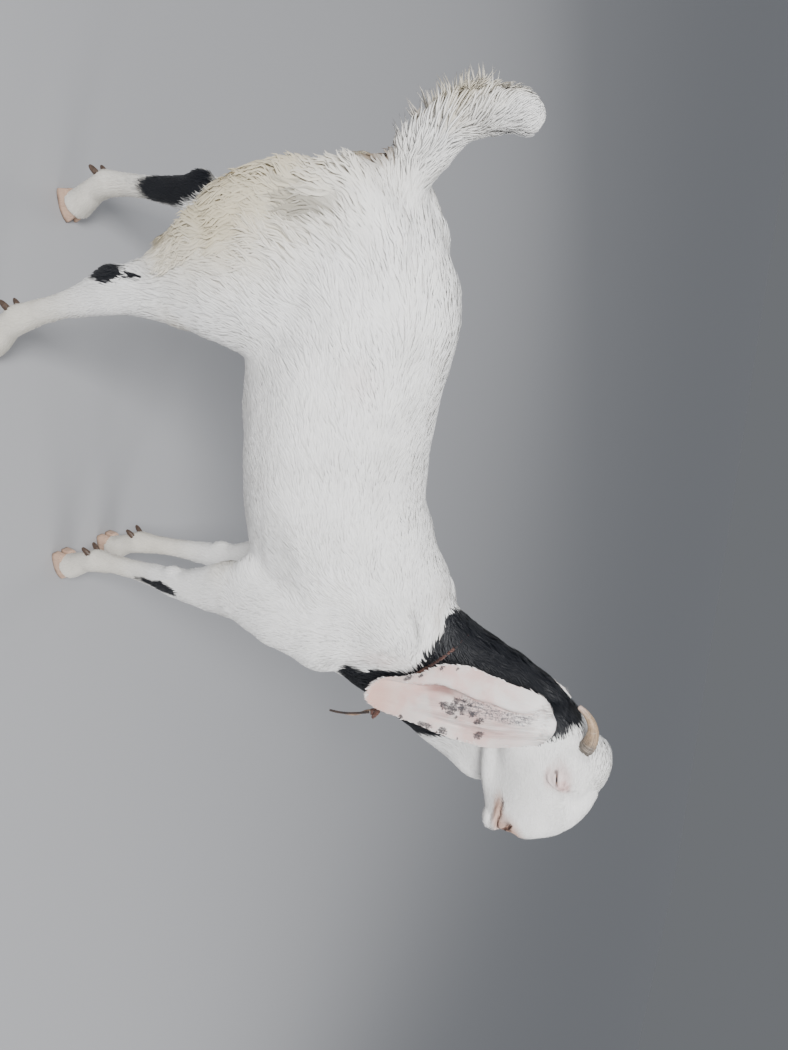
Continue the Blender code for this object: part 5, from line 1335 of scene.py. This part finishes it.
lie = np.array(both_sides(BODY_LIE + LEG_LIE + TAIL_LIE) + both_sides(HEAD_LIE, True))
lie_place, lie_way, lie_reach = lie[:, :3], lie[:, 3:6].copy(), lie[:, 10]
lie_way /= np.linalg.norm(lie_way, axis=1)[:, None]
lie_size = lie[:, 6:10] * np.array([0.001, 0.001, 1.0, 1.0])


def lie_at(places):
    """The hair's way, length, width, rise and wave at places, from the rows around each."""
    way, size = np.zeros((len(places), 3)), np.zeros((len(places), 4))
    for start in range(0, len(places), 20000):
        chunk = slice(start, start + 20000)
        away = np.linalg.norm(places[chunk, None] - lie_place[None], axis=2) / lie_reach
        share = 1 / (away ** 2 + 0.05) ** 2.5 / lie_reach
        share /= share.sum(1)[:, None]
        way[chunk], size[chunk] = share @ lie_way, share @ lie_size
    return way, size


def unit(ways):
    return ways / np.maximum(np.linalg.norm(ways, axis=1), 1e-9)[:, None]


def ruffle(places, scale, seed):
    """A slow wave over the body, between -1 and 1."""
    rng = np.random.default_rng(seed)
    total = np.zeros(len(places))
    for _ in range(5):
        total += np.sin(places @ rng.normal(0, scale, 3) + rng.uniform(0, 6.28))
    return total / 2.2


# Roots: even places over the skin, closer together where the tufts are small. They keep a
# share of their own size apart, less in long hair, and more on the head and down the legs.
ROOT_SEED = 7
SPACING = 0.72
LONG_HAIR = (0.032, 0.045)
LONG_HAIR_CROWDING = 0.30
HEAD_THINNING = 0.40
LEG_THINNING = 0.75
LEG_DEPTH = (-0.46, -0.38)
SMALLEST_CELL = 0.002
CELL_STEP = 0.22
CELL_CODE = np.array([1, 4096, 4096 ** 2])
# Eggs in the head's frame, on both sides, where no hair grows: slits, nostrils, lips.
HAIRLESS = (((EYE.x, EYE.y + 0.012, EYE.z), (0.0185, 0.020, 0.0088)),
            ((0.176, 0.014, 0.966), (0.013, 0.014, 0.016)),
            ((0.165, 0.012, 0.9445), (0.028, 0.022, 0.0060)))
ROOT_CANDIDATES = 700000
EAR_CANDIDATES = 60000
COAT_FLOOR = 0.034
rng = np.random.default_rng(ROOT_SEED)
skin.data.calc_loop_triangles()
corners = read_all(skin.data.loop_triangles, "vertices", 3, np.int32)
owner = read_all(skin.data.loop_triangles, "polygon_index", 1, np.int32)[:, 0]
on_ear = owner >= skin_faces
skin_points = points_of(skin.data)
skin_ways = normals_of(skin.data)
leaf_points = np.array(leaf_map)


def scatter(triangles, count):
    """Places spread evenly over triangles by area, with the skin's way out and the leaf map."""
    a, b, c = (skin_points[triangles[:, k]] for k in range(3))
    area = np.linalg.norm(np.cross(b - a, c - a), axis=1)
    pick = rng.choice(len(triangles), count, p=area / area.sum())
    u, v = rng.random(count), rng.random(count)
    over = u + v > 1
    u[over], v[over] = 1 - u[over], 1 - v[over]
    share = np.stack([1 - u - v, u, v], 1)[:, :, None]
    chosen = triangles[pick]
    return ((skin_points[chosen] * share).sum(1), unit((skin_ways[chosen] * share).sum(1)),
            (leaf_points[chosen] * share).sum(1))


def thin_by_cell(places, spacing):
    """Keeps one place in each cell, with cells of a few sizes as the spacing asks."""
    level = np.log(spacing / SMALLEST_CELL) / CELL_STEP + rng.uniform(-0.5, 0.5, len(places))
    level = np.round(level).astype(int)
    keep = []
    for step in np.unique(level):
        chosen = np.flatnonzero(level == step)
        width = SMALLEST_CELL * math.exp(CELL_STEP * step)
        cell = np.floor(places[chosen] / width + 0.37 * step).astype(np.int64)
        _, first = np.unique(cell @ CELL_CODE, return_index=True)
        keep.append(chosen[first])
    return np.concatenate(keep)


places, ways, _ = scatter(corners[~on_ear], ROOT_CANDIDATES)
way, size = lie_at(places)
length, width = size[:, 0], size[:, 1]
crowding = SPACING * np.sqrt(length * width) * (1 - LONG_HAIR_CROWDING * ramp(length, *LONG_HAIR))
crowding *= 1 + HEAD_THINNING * headness(places) + LEG_THINNING * ramp(-places[:, 2], *LEG_DEPTH)
keep = thin_by_cell(places, crowding)
places, ways, way, size = places[keep], ways[keep], way[keep], size[keep]


def off_bare(places):
    """Where hair grows: not in nostrils, mouth and eye slits, nor on lips and nose pad."""
    hairy = np.ones(len(places), bool)
    for side in (-1, 1):
        for (x, y, z), radii in HAIRLESS:
            middle = np.array(head_point(x, side * y, z))
            hairy &= (((places - middle) / radii) ** 2).sum(1) > 1
    return hairy


keep = off_bare(places) & (places[:, 2] > COAT_FLOOR)
places, ways, way, size = places[keep], ways[keep], way[keep], size[keep]


# How far off the skin a tuft is still pressed, and how far its sides' light is turned.
PRESS_REACH = 0.025
SIDE_TILT = 0.45
flesh = bmesh.new()
flesh.from_mesh(skin.data)
skin_tree = BVHTree.FromBMesh(flesh)
flesh.free()


def press(points, share):
    """Brings points down onto the skin by a share, with the skin's way out at each."""
    down, out = points.copy(), np.empty_like(points)
    for i, point in enumerate(points.tolist()):
        place, way_out, _, _ = skin_tree.find_nearest(point)
        down[i], out[i] = place, way_out
    far = np.linalg.norm(points - down, axis=1)
    share = (share * (far < PRESS_REACH))[:, None]
    return points + (down - points) * share, out


def comb(places, ways, way, size, depth, rings, hug, tilt=SIDE_TILT):
    """Tufts as closed three-sided blades that hug the skin: points, their places across and
    along, and the ways that light sees them face."""
    count = len(places)
    length, width, rise, wave = size.T
    length = length * rng.uniform(0.80, 1.15, count)
    width = width * rng.uniform(0.80, 1.20, count)
    lean = 0.22 * ruffle(places, 55, 3) + 0.10 * ruffle(places, 160, 4) + rng.normal(0, 0.09, count)
    flat = unit(way - ways * (way * ways).sum(1)[:, None])
    side = np.cross(ways, flat)
    flat = unit(flat + side * lean[:, None])
    side = np.cross(ways, flat)
    clump = 1 + 0.35 * ruffle(places, 70, 9)
    height = np.minimum(depth * rise * clump * rng.uniform(0.75, 1.25, count), length * 0.5)
    phase = 3.1 * ruffle(places, 90, 5) + rng.normal(0, 0.5, count)
    sink = np.minimum(0.0012, 0.12 * length)
    points = np.empty((count, 3 * rings + 1, 3))
    across = np.empty((count, 3 * rings + 1))
    along = np.empty((count, 3 * rings + 1))
    facing = np.empty((count, 3 * rings + 1, 3))
    profile = np.interp(np.arange(rings) / rings, (0, 0.30, 0.62, 0.85, 1), (0.60, 1.0, 0.82, 0.45, 0.1))
    for k in range(rings + 1):
        t = k / rings
        swing = wave * length * np.sin(phase + 5.0 * t) * t
        centre = places + flat * (length * t)[:, None] + side * swing[:, None]
        centre, out = press(centre, hug) if k and hug.any() else (centre, ways)
        out = unit(out * hug[:, None] + ways * (1.001 - hug)[:, None])
        centre = centre + out * (height * (2.0 * t - 1.25 * t * t) - sink * (1 - t))[:, None]
        if k == rings:
            points[:, -1], across[:, -1], along[:, -1], facing[:, -1] = centre, 0.5, 1.0, out
            break
        half = width * profile[k] / 2
        points[:, 3 * k] = centre - side * half[:, None]
        points[:, 3 * k + 1] = centre + out * (half * 0.34)[:, None]
        points[:, 3 * k + 2] = centre + side * half[:, None]
        facing[:, 3 * k] = unit(out - side * tilt)
        facing[:, 3 * k + 1] = out
        facing[:, 3 * k + 2] = unit(out + side * tilt)
        across[:, 3 * k:3 * k + 3] = (0.0, 0.5, 1.0)
        along[:, 3 * k:3 * k + 3] = t
    return points, across, along, facing


def blade_faces(count, rings):
    """Corners of the blades' faces, as one row for each face, and how many corners each has."""
    quads, tris = [], []
    for k in range(rings - 1):
        for i in range(3):
            j = (i + 1) % 3
            quads.append((3 * k + i, 3 * k + 3 + i, 3 * k + 3 + j, 3 * k + j))
    last = 3 * (rings - 1)
    for i in range(3):
        tris.append((last + i, 3 * rings, last + (i + 1) % 3))
    tris.append((0, 1, 2))
    base = (np.arange(count) * (3 * rings + 1))[:, None, None]
    return (base + np.array(quads)).reshape(-1), (base + np.array(tris)).reshape(-1), len(quads), len(tris)


def unwrap(places, axes):
    """Places on the skin rolled out flat: round the nearest axis and along it, side by side."""
    best, u, v = np.full(len(places), 1e9), np.zeros(len(places)), np.zeros(len(places))
    for index, (start, end, start_angle) in enumerate(axes):
        start, end = np.array(start), np.array(end)
        line = (end - start) / np.linalg.norm(end - start)
        first = np.cross(line, (0.0, 1.0, 0.0) if abs(line[1]) < 0.9 else (1.0, 0.0, 0.0))
        first /= np.linalg.norm(first)
        second = np.cross(line, first)
        off = places - start
        run = off @ line / np.linalg.norm(end - start)
        out = off - np.outer(off @ line, line)
        away = np.linalg.norm(out, axis=1) + 10 * np.maximum(0, np.abs(run - 0.5) - 0.5)
        angle = (np.arctan2(out @ second, out @ first) / (2 * math.pi) + start_angle) % 1.0
        near = away < best
        best[near] = away[near]
        u[near] = ((index + 0.02 + 0.96 * angle) / len(axes))[near]
        v[near] = (0.02 + 0.96 * np.clip(run, 0, 1))[near]
    return np.stack([u, v], 1)


PATCH_SIZE = 0.003


def blades(name, roots, tufts, rings, flat_places, paint, as_skin=True):
    """One mesh of tufts, with its maps, lit as the skin under it is if as_skin says so."""
    points, across, along, facing = tufts
    count = len(roots)
    each = 3 * rings + 1
    mesh = bpy.data.meshes.new(name)
    mesh.vertices.add(count * each)
    mesh.vertices.foreach_set("co", (points.reshape(-1, 3) - np.array(MIDDLE)).astype(np.float32).ravel())
    quads, tris, quad_count, tri_count = blade_faces(count, rings)
    loops = np.concatenate([quads, tris]).astype(np.int32)
    starts = np.concatenate([np.arange(count * quad_count) * 4,
                             len(quads) + np.arange(count * tri_count) * 3]).astype(np.int32)
    mesh.loops.add(len(loops))
    mesh.loops.foreach_set("vertex_index", loops)
    mesh.polygons.add(len(starts))
    mesh.polygons.foreach_set("loop_start", starts)
    mesh.polygons.foreach_set("use_smooth", np.ones(len(starts), bool))
    mesh.update(calc_edges=True)
    keep_map(mesh, "root", np.repeat(roots - np.array(MIDDLE), each, axis=0))
    keep_map(mesh, "tuft", np.stack([across.ravel(), along.ravel(), np.repeat(rng.random(count), each)], 1))
    spot = np.repeat(flat_places, each, axis=0)
    spot = spot + PATCH_SIZE * (np.stack([across.ravel(), along.ravel()], 1) - 0.5)
    baked = mesh.uv_layers.new(name="OFBake")
    baked.data.foreach_set("uv", spot[loops].astype(np.float32).ravel())
    mesh.materials.append(paint)
    below = np.r_[np.tile(np.repeat([1.0, 1.0, -1.0], 4), count * (rings - 1)),
                  np.tile(np.repeat([1.0, 1.0, -1.0, 1.0], 3), count)]
    if as_skin:
        mesh.normals_split_custom_set((facing.reshape(-1, 3)[loops] * below[:, None]).astype(np.float32))
    piece = link(bpy.data.objects.new(name, mesh))
    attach(piece, "root")
    return piece


# The coat's paint: the markings at the tuft's root, each tuft a little lighter or darker,
# fine strands along it, and painted shade that darkens each tuft towards its root.
strands, given, put = new_group("strands", [("Tuft", "NodeSocketVector")],
                                [("Height", "NodeSocketFloat"), ("Shade", "NodeSocketFloat")])
_, along_tuft, tuft_share = split(strands, given["Tuft"])
hairs = stretched(strands, given["Tuft"], (9.0, 1.2, 57.0), 2.0, 0.6)
feed(strands, put["Height"], hairs)
one_tuft = mul(strands, less(strands, tuft_share, 0.5), 0.10)
hair_shade = add(strands, climb(strands, hairs, 0.30, 0.62, 0.92, 1.03), one_tuft)
# Painted shade: each tuft is darker towards its root, under the tufts that lie over it.
feed(strands, put["Shade"], mul(strands, hair_shade, climb(strands, along_tuft, 0.0, 0.45, 0.90, 1.0)))

coat_paint, tree, face = new_paint("coat hair", 0.7)
marked = use_group(tree, marks_and_shade, Place=read_map(tree, "root"))
strand = use_group(tree, strands, Tuft=read_map(tree, "tuft"))
face.inputs["Specular IOR Level"].default_value = SKIN_SPECULAR
dress(tree, face, shift(tree, "SCALE", marked["Colour"], strand["Shade"]),
      climb(tree, marked["Black"], 0.0, 1.0, 0.68, 0.38), strand["Height"], 0.0004)

TRUNK_AXIS = ((-0.20, 0.0, 0.66), (0.66, 0.0, 0.64))
HEAD_AXIS = (tuple(head_point(-0.06, 0, 0.985)), tuple(head_point(0.20, 0, 0.975)))
x, y, z = places.T
is_head = headness(places) > 0.5
is_tail = (x < -0.118) & (z > 0.765) | (x < -0.140) & (z > 0.735)
is_leg = (z < 0.420) & ~is_head
is_long = (size[:, 0] > 0.036) & ~is_tail & ~is_head & ~is_leg
is_neck = ((x - 0.488) * 0.7325 + (z - 0.838) * 0.681 > 0) & ~is_head
rest = ~(is_head | is_tail | is_leg | is_long | is_neck)
LEG_AXES = [((0.515, -0.06, 0.0), (0.500, -0.075, 0.43), 0.0),
            ((0.521, 0.06, 0.0), (0.506, 0.075, 0.43), 0.0),
            ((0.070, -0.11, 0.0), (0.005, -0.102, 0.43), 0.0),
            ((-0.130, 0.12, 0.0), (-0.080, 0.106, 0.43), 0.0)]
LOOSE_COAT = ("coat_tail",)
BREECHES_TILT = 0.8
# How closely short tufts hug the skin, how much less long ones do, and where they grow long.
COAT_HUG = 0.92
LONG_HAIR_LIFT = 0.55
LIFTING_HAIR = (0.030, 0.045)
MOST_TRIANGLES = 195000
groups = (
    ("coat_flank_right", rest & (y < 0) & (x >= 0.06) & (x < 0.40), 3, [(*TRUNK_AXIS, 0.0)]),
    ("coat_flank_left", rest & (y >= 0) & (x >= 0.06) & (x < 0.40), 3, [(*TRUNK_AXIS, 0.0)]),
    ("coat_shoulders", rest & (x >= 0.40), 3, [(*TRUNK_AXIS, 0.0)]),
    ("coat_rump", rest & (x < 0.06), 3, [(*TRUNK_AXIS, 0.0)]),
    ("coat_neck", is_neck, 3, [((0.50, 0.0, 0.70), (0.69, -0.03, 1.00), 0.0)]),
    ("coat_head", is_head, 3, [(*HEAD_AXIS, 0.0)]),
    ("coat_legs", is_leg, 3, LEG_AXES),
    ("coat_breeches", is_long, 5, [((-0.03, -0.085, 0.40), (-0.05, -0.065, 0.78), 0.5),
                                   ((-0.04, 0.085, 0.40), (-0.05, 0.065, 0.78), 0.5)]),
    ("coat_tail", is_tail, 5, [((-0.10, 0.0, 0.72), (-0.18, 0.0, 0.95), 0.0)]),
)
for name, chosen, rings, axes in groups:
    chosen = np.flatnonzero(chosen)
    each = 6 * (rings - 1) + 4
    cap = MOST_TRIANGLES // each
    for part_number in range(math.ceil(len(chosen) * each / MOST_TRIANGLES)):
        share = chosen[part_number * cap:(part_number + 1) * cap]
        piece_name = name + ("_" + str(part_number + 1) if part_number else "")
        hug = COAT_HUG - LONG_HAIR_LIFT * ramp(size[share, 0], *LIFTING_HAIR)
        tufts = comb(places[share], ways[share], way[share], size[share], coat_depth(places[share]),
                     rings, hug, BREECHES_TILT if name == "coat_breeches" else SIDE_TILT)
        blades(piece_name, places[share], tufts, rings, unwrap(places[share], axes), coat_paint,
               name not in LOOSE_COAT)

# The ears' hair: short white down on their hidden faces, thin and long only at the roots
# and along the rims of the faces that show. A tuft's size is length, width, rise and wave.
EAR_TUFT = (0.0075, 0.0016, 0.8, 0.05)
EAR_TUFT_SPACING = 0.0043
EAR_COAT_DEPTH = 0.0009
EAR_DOWN = (0.84, 0.82, 0.80, 1)
EAR_DOWN_PINK = (0.80, 0.72, 0.68, 1)
ear_places, ear_ways, ear_leaf = scatter(corners[on_ear], EAR_CANDIDATES)
s, t, shown = ear_leaf.T
at_rim = np.maximum(0.3 * ramp(np.abs(t), 0.93, 0.98), 1 - ramp(s, 0.04, 0.10)) * (s < 0.84)
keep = np.flatnonzero((s > 0.01) & ((shown < -0.5) | (rng.random(len(s)) < 0.7 * at_rim)))
keep = keep[thin_by_cell(ear_places[keep], np.full(len(keep), EAR_TUFT_SPACING))]
ear_places, ear_ways, ear_leaf = ear_places[keep], ear_ways[keep], ear_leaf[keep]
fan = np.stack([0.12 * ear_leaf[:, 1], 0 * ear_leaf[:, 1], -np.ones(len(keep))], 1)
ear_size = np.tile(EAR_TUFT, (len(keep), 1))
ear_size[:, 0] += 0.005 * (1 - ramp(ear_leaf[:, 0], 0.05, 0.20))
tufts = comb(ear_places, ear_ways, unit(fan), ear_size, np.full(len(keep), EAR_COAT_DEPTH), 3,
             np.zeros(len(keep)))
ear_hair_paint, tree, face = new_paint("ear hair", 0.7, 0.2)
strand = use_group(tree, strands, Tuft=read_map(tree, "tuft"))
tone = climb(tree, grain(tree, own_place(tree), 40, 2.0), 0.35, 0.65)
tone = tint(tree, tone, EAR_DOWN, EAR_DOWN_PINK)
dress(tree, face, shift(tree, "SCALE", tone, strand["Shade"]), None, strand["Height"], 0.0003, 0.7)
half_leaf = np.where(ear_places[:, 1] > -0.03, 0.5, 0.0) + np.where(ear_leaf[:, 2] > 0, 0.25, 0.0)
ear_flat = np.stack([half_leaf + 0.115 + 0.10 * ear_leaf[:, 1], 0.02 + 0.96 * ear_leaf[:, 0]], 1)
blades("ear_hair", ear_places, tufts, 3, ear_flat, ear_hair_paint)

set_points(skin.data, points_of(skin.data) - np.array(MIDDLE))
FLESH_NODES = ("torso", "neck", "head", "tail", "thigh_right", "thigh_left", "shank_right", "shank_left",
               "foreleg_right", "foreleg_left", "ear_right", "ear_left")
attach(skin, "root")
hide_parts(*FLESH_NODES)

# The eyes: wet balls behind the lids' slits, amber with a level dark pupil under a clear,
# slightly raised cornea. The finish is one coat of gloss over one painted ball.
EYE_RADIUS = 0.0135
IRIS = (0.16, 0.085, 0.030, 1)
IRIS_RAYS = (0.30, 0.17, 0.06, 1)
PUPIL_SIZE = (0.0046, 1.0, 0.0015)
PUPIL = (0.004, 0.004, 0.005, 1)
EYE_WHITE = (0.42, 0.33, 0.28, 1)


def eyeball(name, side):
    middle = head_point(EYE.x, side * EYE.y, EYE.z)
    mesh = bmesh.new()
    bmesh.ops.create_uvsphere(mesh, u_segments=48, v_segments=32, radius=1)
    for vertex in mesh.verts:
        bulge = 1 + 0.06 * ramp(vertex.co.z, 0.75, 0.95)
        vertex.co = vertex.co * (EYE_RADIUS * bulge)
    outward = Matrix.Rotation(HEAD_TURN, 3, "Z") @ Vector((0.15, side, 0.0))
    turn = outward.to_track_quat("Z", "Y").to_matrix().to_4x4()
    bmesh.ops.transform(mesh, matrix=Matrix.Translation(middle - MIDDLE) @ turn, verts=mesh.verts)
    for face in mesh.faces:
        face.smooth = True
    ball_piece = to_object(name, mesh)
    paint, tree, gloss = new_paint(name + " gloss", 0.08)
    place = shift(tree, "SUBTRACT", own_place(tree), tuple(middle - MIDDLE))
    ahead = tuple(Matrix.Rotation(HEAD_TURN, 3, "Z") @ Vector((1, 0, 0)))
    from_axis = merge(tree, shift(tree, "DOT_PRODUCT", place, ahead), 0.0, split(tree, place)[2])
    rays = grain(tree, shift(tree, "NORMALIZE", from_axis), 14, 3.0)
    iris = tint(tree, rays, IRIS, IRIS_RAYS)
    colour = tint(tree, climb(tree, shift(tree, "LENGTH", from_axis), 0.0062, 0.0076), iris, EYE_WHITE)
    slit = shift(tree, "DIVIDE", from_axis, PUPIL_SIZE)
    pupil = climb(tree, shift(tree, "LENGTH", slit), 1.15, 0.9)
    feed(tree, gloss.inputs["Base Color"], tint(tree, pupil, colour, PUPIL))
    gloss.inputs["Coat Weight"].default_value = 1.0
    gloss.inputs["Coat Roughness"].default_value = 0.10
    ball_piece.data.materials.append(paint)
    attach(ball_piece, "root")
    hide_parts(name)


eyeball("eye_right", -1)
eyeball("eye_left", 1)

# The horns: short hollow sheaths of horn on a bone core, grey and ridged at the base,
# tan and twisted at the tip. The left one is a stub behind the crown.
HORN = ((0.010, 0.026, 1.048, 0.0114), (0.003, 0.027, 1.057, 0.0111), (-0.007, 0.028, 1.063, 0.0101),
        (-0.020, 0.030, 1.066, 0.0087), (-0.032, 0.032, 1.065, 0.0074), (-0.043, 0.033, 1.060, 0.0061),
        (-0.052, 0.034, 1.052, 0.0047), (-0.058, 0.034, 1.043, 0.0031))
HORN_STUB = 3
HORN_RIDGE = 0.055
HORN_SIDES = 32
HORN_GREY = (0.115, 0.100, 0.085, 1)
HORN_TAN = (0.42, 0.29, 0.18, 1)
HORN_TIP = (0.62, 0.46, 0.38, 1)
HORN_DARK = (0.055, 0.042, 0.032, 1)
HORN_PALE = (0.62, 0.52, 0.42, 1)


def spline(points, t):
    """A place on the smooth curve through evenly counted points, t from 0 to 1."""
    f = t * (len(points) - 1)
    i = min(int(f), len(points) - 2)
    f -= i
    a, b, c, d = (np.array(points[min(max(i + k, 0), len(points) - 1)]) for k in (-1, 0, 1, 2))
    return 0.5 * (2 * b + (c - a) * f + (2 * a - 5 * b + 4 * c - d) * f ** 2
                  + (3 * b - 3 * c + d - a) * f ** 3)


def horn(name, side, count):
    """Rings swell in ridges that run round the horn, closest at the base."""
    drop = 0.010 if side > 0 else 0.0
    stations = [(*head_point(x, side * y, z - drop), size) for x, y, z, size in HORN[:count]]
    steps = 14 * (count - 1)
    rings, growth = [], []
    for k in range(steps + 1):
        t = k / steps
        here = spline(stations, t)
        ahead = spline(stations, min(1, t + 0.02)) - spline(stations, max(0, t - 0.02))
        along = Vector(ahead[:3]).normalized()
        deep = (Vector((0, 0, 1)) - along * along.z).normalized()
        wide = along.cross(deep)
        far = t * (count - 1) / (len(HORN) - 1)
        ridge = HORN_RIDGE * (1 - 0.6 * far) * (math.sin(2 * math.pi * (9 * far ** 0.8)) ** 2 - 0.5)
        size = float(here[3] * (1 + ridge))
        if t > 0.985:
            size *= 0.8
        ring = []
        for j in range(HORN_SIDES):
            turn = 2 * math.pi * j / HORN_SIDES
            lobe = 1 + 0.05 * math.cos(2 * turn + 4 * far) + 0.03 * math.cos(3 * turn - 3 * far)
            lobe -= 0.06 * far * max(0, math.cos(turn - 5 * far)) ** 6
            around = deep * math.cos(turn) + wide * (0.9 * math.sin(turn))
            ring.append(Vector(here[:3]) - MIDDLE + around * (size * lobe))
            growth.append((far, j / HORN_SIDES, 0.0))
        rings.append(ring)
    if count < len(HORN):
        middle = sum(rings[-1], Vector()) / HORN_SIDES
        rings.append([middle + (p - middle) * 0.72 + Vector((-0.0012, 0, 0.0006)) for p in rings[-1]])
        growth += [(far, j / HORN_SIDES, 0.0) for j in range(HORN_SIDES)]
    piece = tube(name, rings)
    piece.data.polygons.foreach_set("use_smooth", np.ones(len(piece.data.polygons), bool))
    keep_map(piece.data, "growth", growth)
    piece.data.materials.append(horn_paint)
    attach(piece, "root")
    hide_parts(name)


horn_paint, tree, face = new_paint("ridged horn", 0.5)
growth_place = read_map(tree, "growth")
grown = split(tree, growth_place)[0]
streaks = stretched(tree, growth_place, (5.0, 30.0, 1.0), 4.0, 0.65)
rings_of_growth = stretched(tree, growth_place, (46.0, 2.0, 1.0))
blotch = grain(tree, own_place(tree), 130, 4.0)
colour = tint(tree, climb(tree, add(tree, grown, mul(tree, blotch, 0.25)), 0.30, 0.62), HORN_GREY, HORN_TAN)
colour = tint(tree, climb(tree, grown, 0.72, 0.98), colour, HORN_TIP)
colour = tint(tree, climb(tree, streaks, 0.60, 0.36, 0.0, 0.65), colour, HORN_DARK)
colour = tint(tree, climb(tree, rings_of_growth, 0.56, 0.70, 0.0, 0.35), colour, HORN_PALE)
dress(tree, face, colour, climb(tree, streaks, 0.3, 0.7, 0.62, 0.40),
      add(tree, mul(tree, streaks, 0.6), rings_of_growth))
horn("horn_right", -1, len(HORN))
horn("horn_left", 1, HORN_STUB)

# The hooves: two claws of horn on each foot, with flat soles and rounded walls, and two
# small dewclaws behind each fetlock. Growth rings run round them, dark at the sole.
SOLE = ((-0.027, 0.0075), (-0.022, 0.0105), (-0.008, 0.0118), (0.010, 0.0110), (0.024, 0.0072),
        (0.0325, 0.0025))
# How wide the claw is at shares of its height, beside its widest.
CLAW_LEVELS = ((0.0, 0.955), (0.035, 0.985), (0.10, 1.0), (0.25, 0.992), (0.45, 0.975),
               (0.65, 0.955), (0.85, 0.925), (0.96, 0.905), (1.0, 0.870))
CLAW_GAP = 0.0030
CORONET_HEIGHT = 0.029
CORONET_SLOPE = 0.26
FEET = {"fore_right": (0.541, -0.055), "fore_left": (0.547, 0.055),
        "hind_right": (0.098, -0.112), "hind_left": (-0.116, 0.120)}
DEWCLAW_SIZE = 0.0058
HOOF_PINK = (0.55, 0.37, 0.27, 1)
HOOF_DARK = (0.060, 0.036, 0.024, 1)
HOOF_LINES = (0.17, 0.10, 0.07, 1)
HOOF_RINGS = (0.60, 0.46, 0.36, 1)
DEWCLAW_PALE = (0.13, 0.085, 0.06, 1)


def sole_outline(count=14):
    """Round the claw's sole: its outer side bulges, its inner side is nearly flat."""
    outer = [tuple(map(float, spline(SOLE, k / count))) for k in range(count + 1)]
    return outer + [(x, -0.55 * w) for x, w in outer[::-1]]


def claw(name, foot_x, foot_y, side):
    rings = []
    for level, grow in CLAW_LEVELS:
        ring = []
        for x, w in sole_outline():
            px = x * grow - 0.0125 * level * (x + 0.027) / 0.06
            py = side * (CLAW_GAP / 2 + 0.0075 + w * grow)
            z = level * (CORONET_HEIGHT + CORONET_SLOPE * px)
            ring.append(Vector((foot_x + px, foot_y + py, z)) - MIDDLE)
        rings.append(ring)
    hoof(tube(name, rings), name, hoof_paint)


def dewclaw(name, stations, side):
    x, y, z, deep, wide = stations[12]
    path = []
    for k in range(9):
        t = k / 8
        size = DEWCLAW_SIZE * float(np.interp(t, (0, 0.33, 0.66, 0.85, 1), (0.9, 1.0, 0.9, 0.72, 0.40)))
        centre = Vector((x - deep * 0.55 - 0.016 * t, y + side * (0.0100 + 0.003 * t),
                         z - 0.006 - 0.014 * t))
        path.append((*(centre - MIDDLE), size, size * 0.85))
    hoof(limb(name, path, sides=16), name, dewclaw_paint)


def hoof(piece, name, paint):
    piece.data.polygons.foreach_set("use_smooth", np.ones(len(piece.data.polygons), bool))
    piece.data.set_sharp_from_angle(angle=math.radians(50))
    piece.data.materials.append(paint)
    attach(piece, "root")
    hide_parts(name)


hoof_paint, tree, face = new_paint("hoof horn", 0.5)
place = own_place(tree)
rings_of_growth = stretched(tree, place, (30.0, 30.0, 520.0))
wall_lines = stretched(tree, place, (520.0, 520.0, 40.0))
blotch = grain(tree, place, 60)
level = add(tree, split(tree, place)[2], mul(tree, blotch, 0.014))
colour = tint(tree, climb(tree, level, 0.017, 0.004), HOOF_PINK, HOOF_DARK)
colour = tint(tree, climb(tree, wall_lines, 0.50, 0.68, 0.0, 0.45), colour, HOOF_LINES)
colour = tint(tree, climb(tree, rings_of_growth, 0.55, 0.70, 0.0, 0.35), colour, HOOF_RINGS)
dress(tree, face, colour, climb(tree, blotch, 0.3, 0.7, 0.42, 0.62),
      add(tree, rings_of_growth, mul(tree, wall_lines, 0.5)), 0.0008)
dewclaw_paint, tree, face = new_paint("dark dewclaw horn", 0.45)
flecks = stretched(tree, own_place(tree), (260.0, 260.0, 420.0))
colour = tint(tree, climb(tree, flecks, 0.45, 0.75), HOOF_DARK, DEWCLAW_PALE)
dress(tree, face, colour, None, flecks, 0.0006)
LEG_STATIONS = {"hind_right": HIND_RIGHT, "hind_left": HIND_LEFT}
for foot_side, (foot_shift, foot_sign) in FORE_FEET.items():
    LEG_STATIONS["fore_" + foot_side] = [(x + foot_shift, foot_sign * y, z, deep, wide)
                                         for x, y, z, deep, wide in FORE_LEG]
for foot, (foot_x, foot_y) in FEET.items():
    outward = -1 if foot.endswith("right") else 1
    for which, side in (("outer", outward), ("inner", -outward)):
        claw("claw_" + foot + "_" + which, foot_x, foot_y, side)
        dewclaw("dewclaw_" + foot + "_" + which, LEG_STATIONS[foot], side)
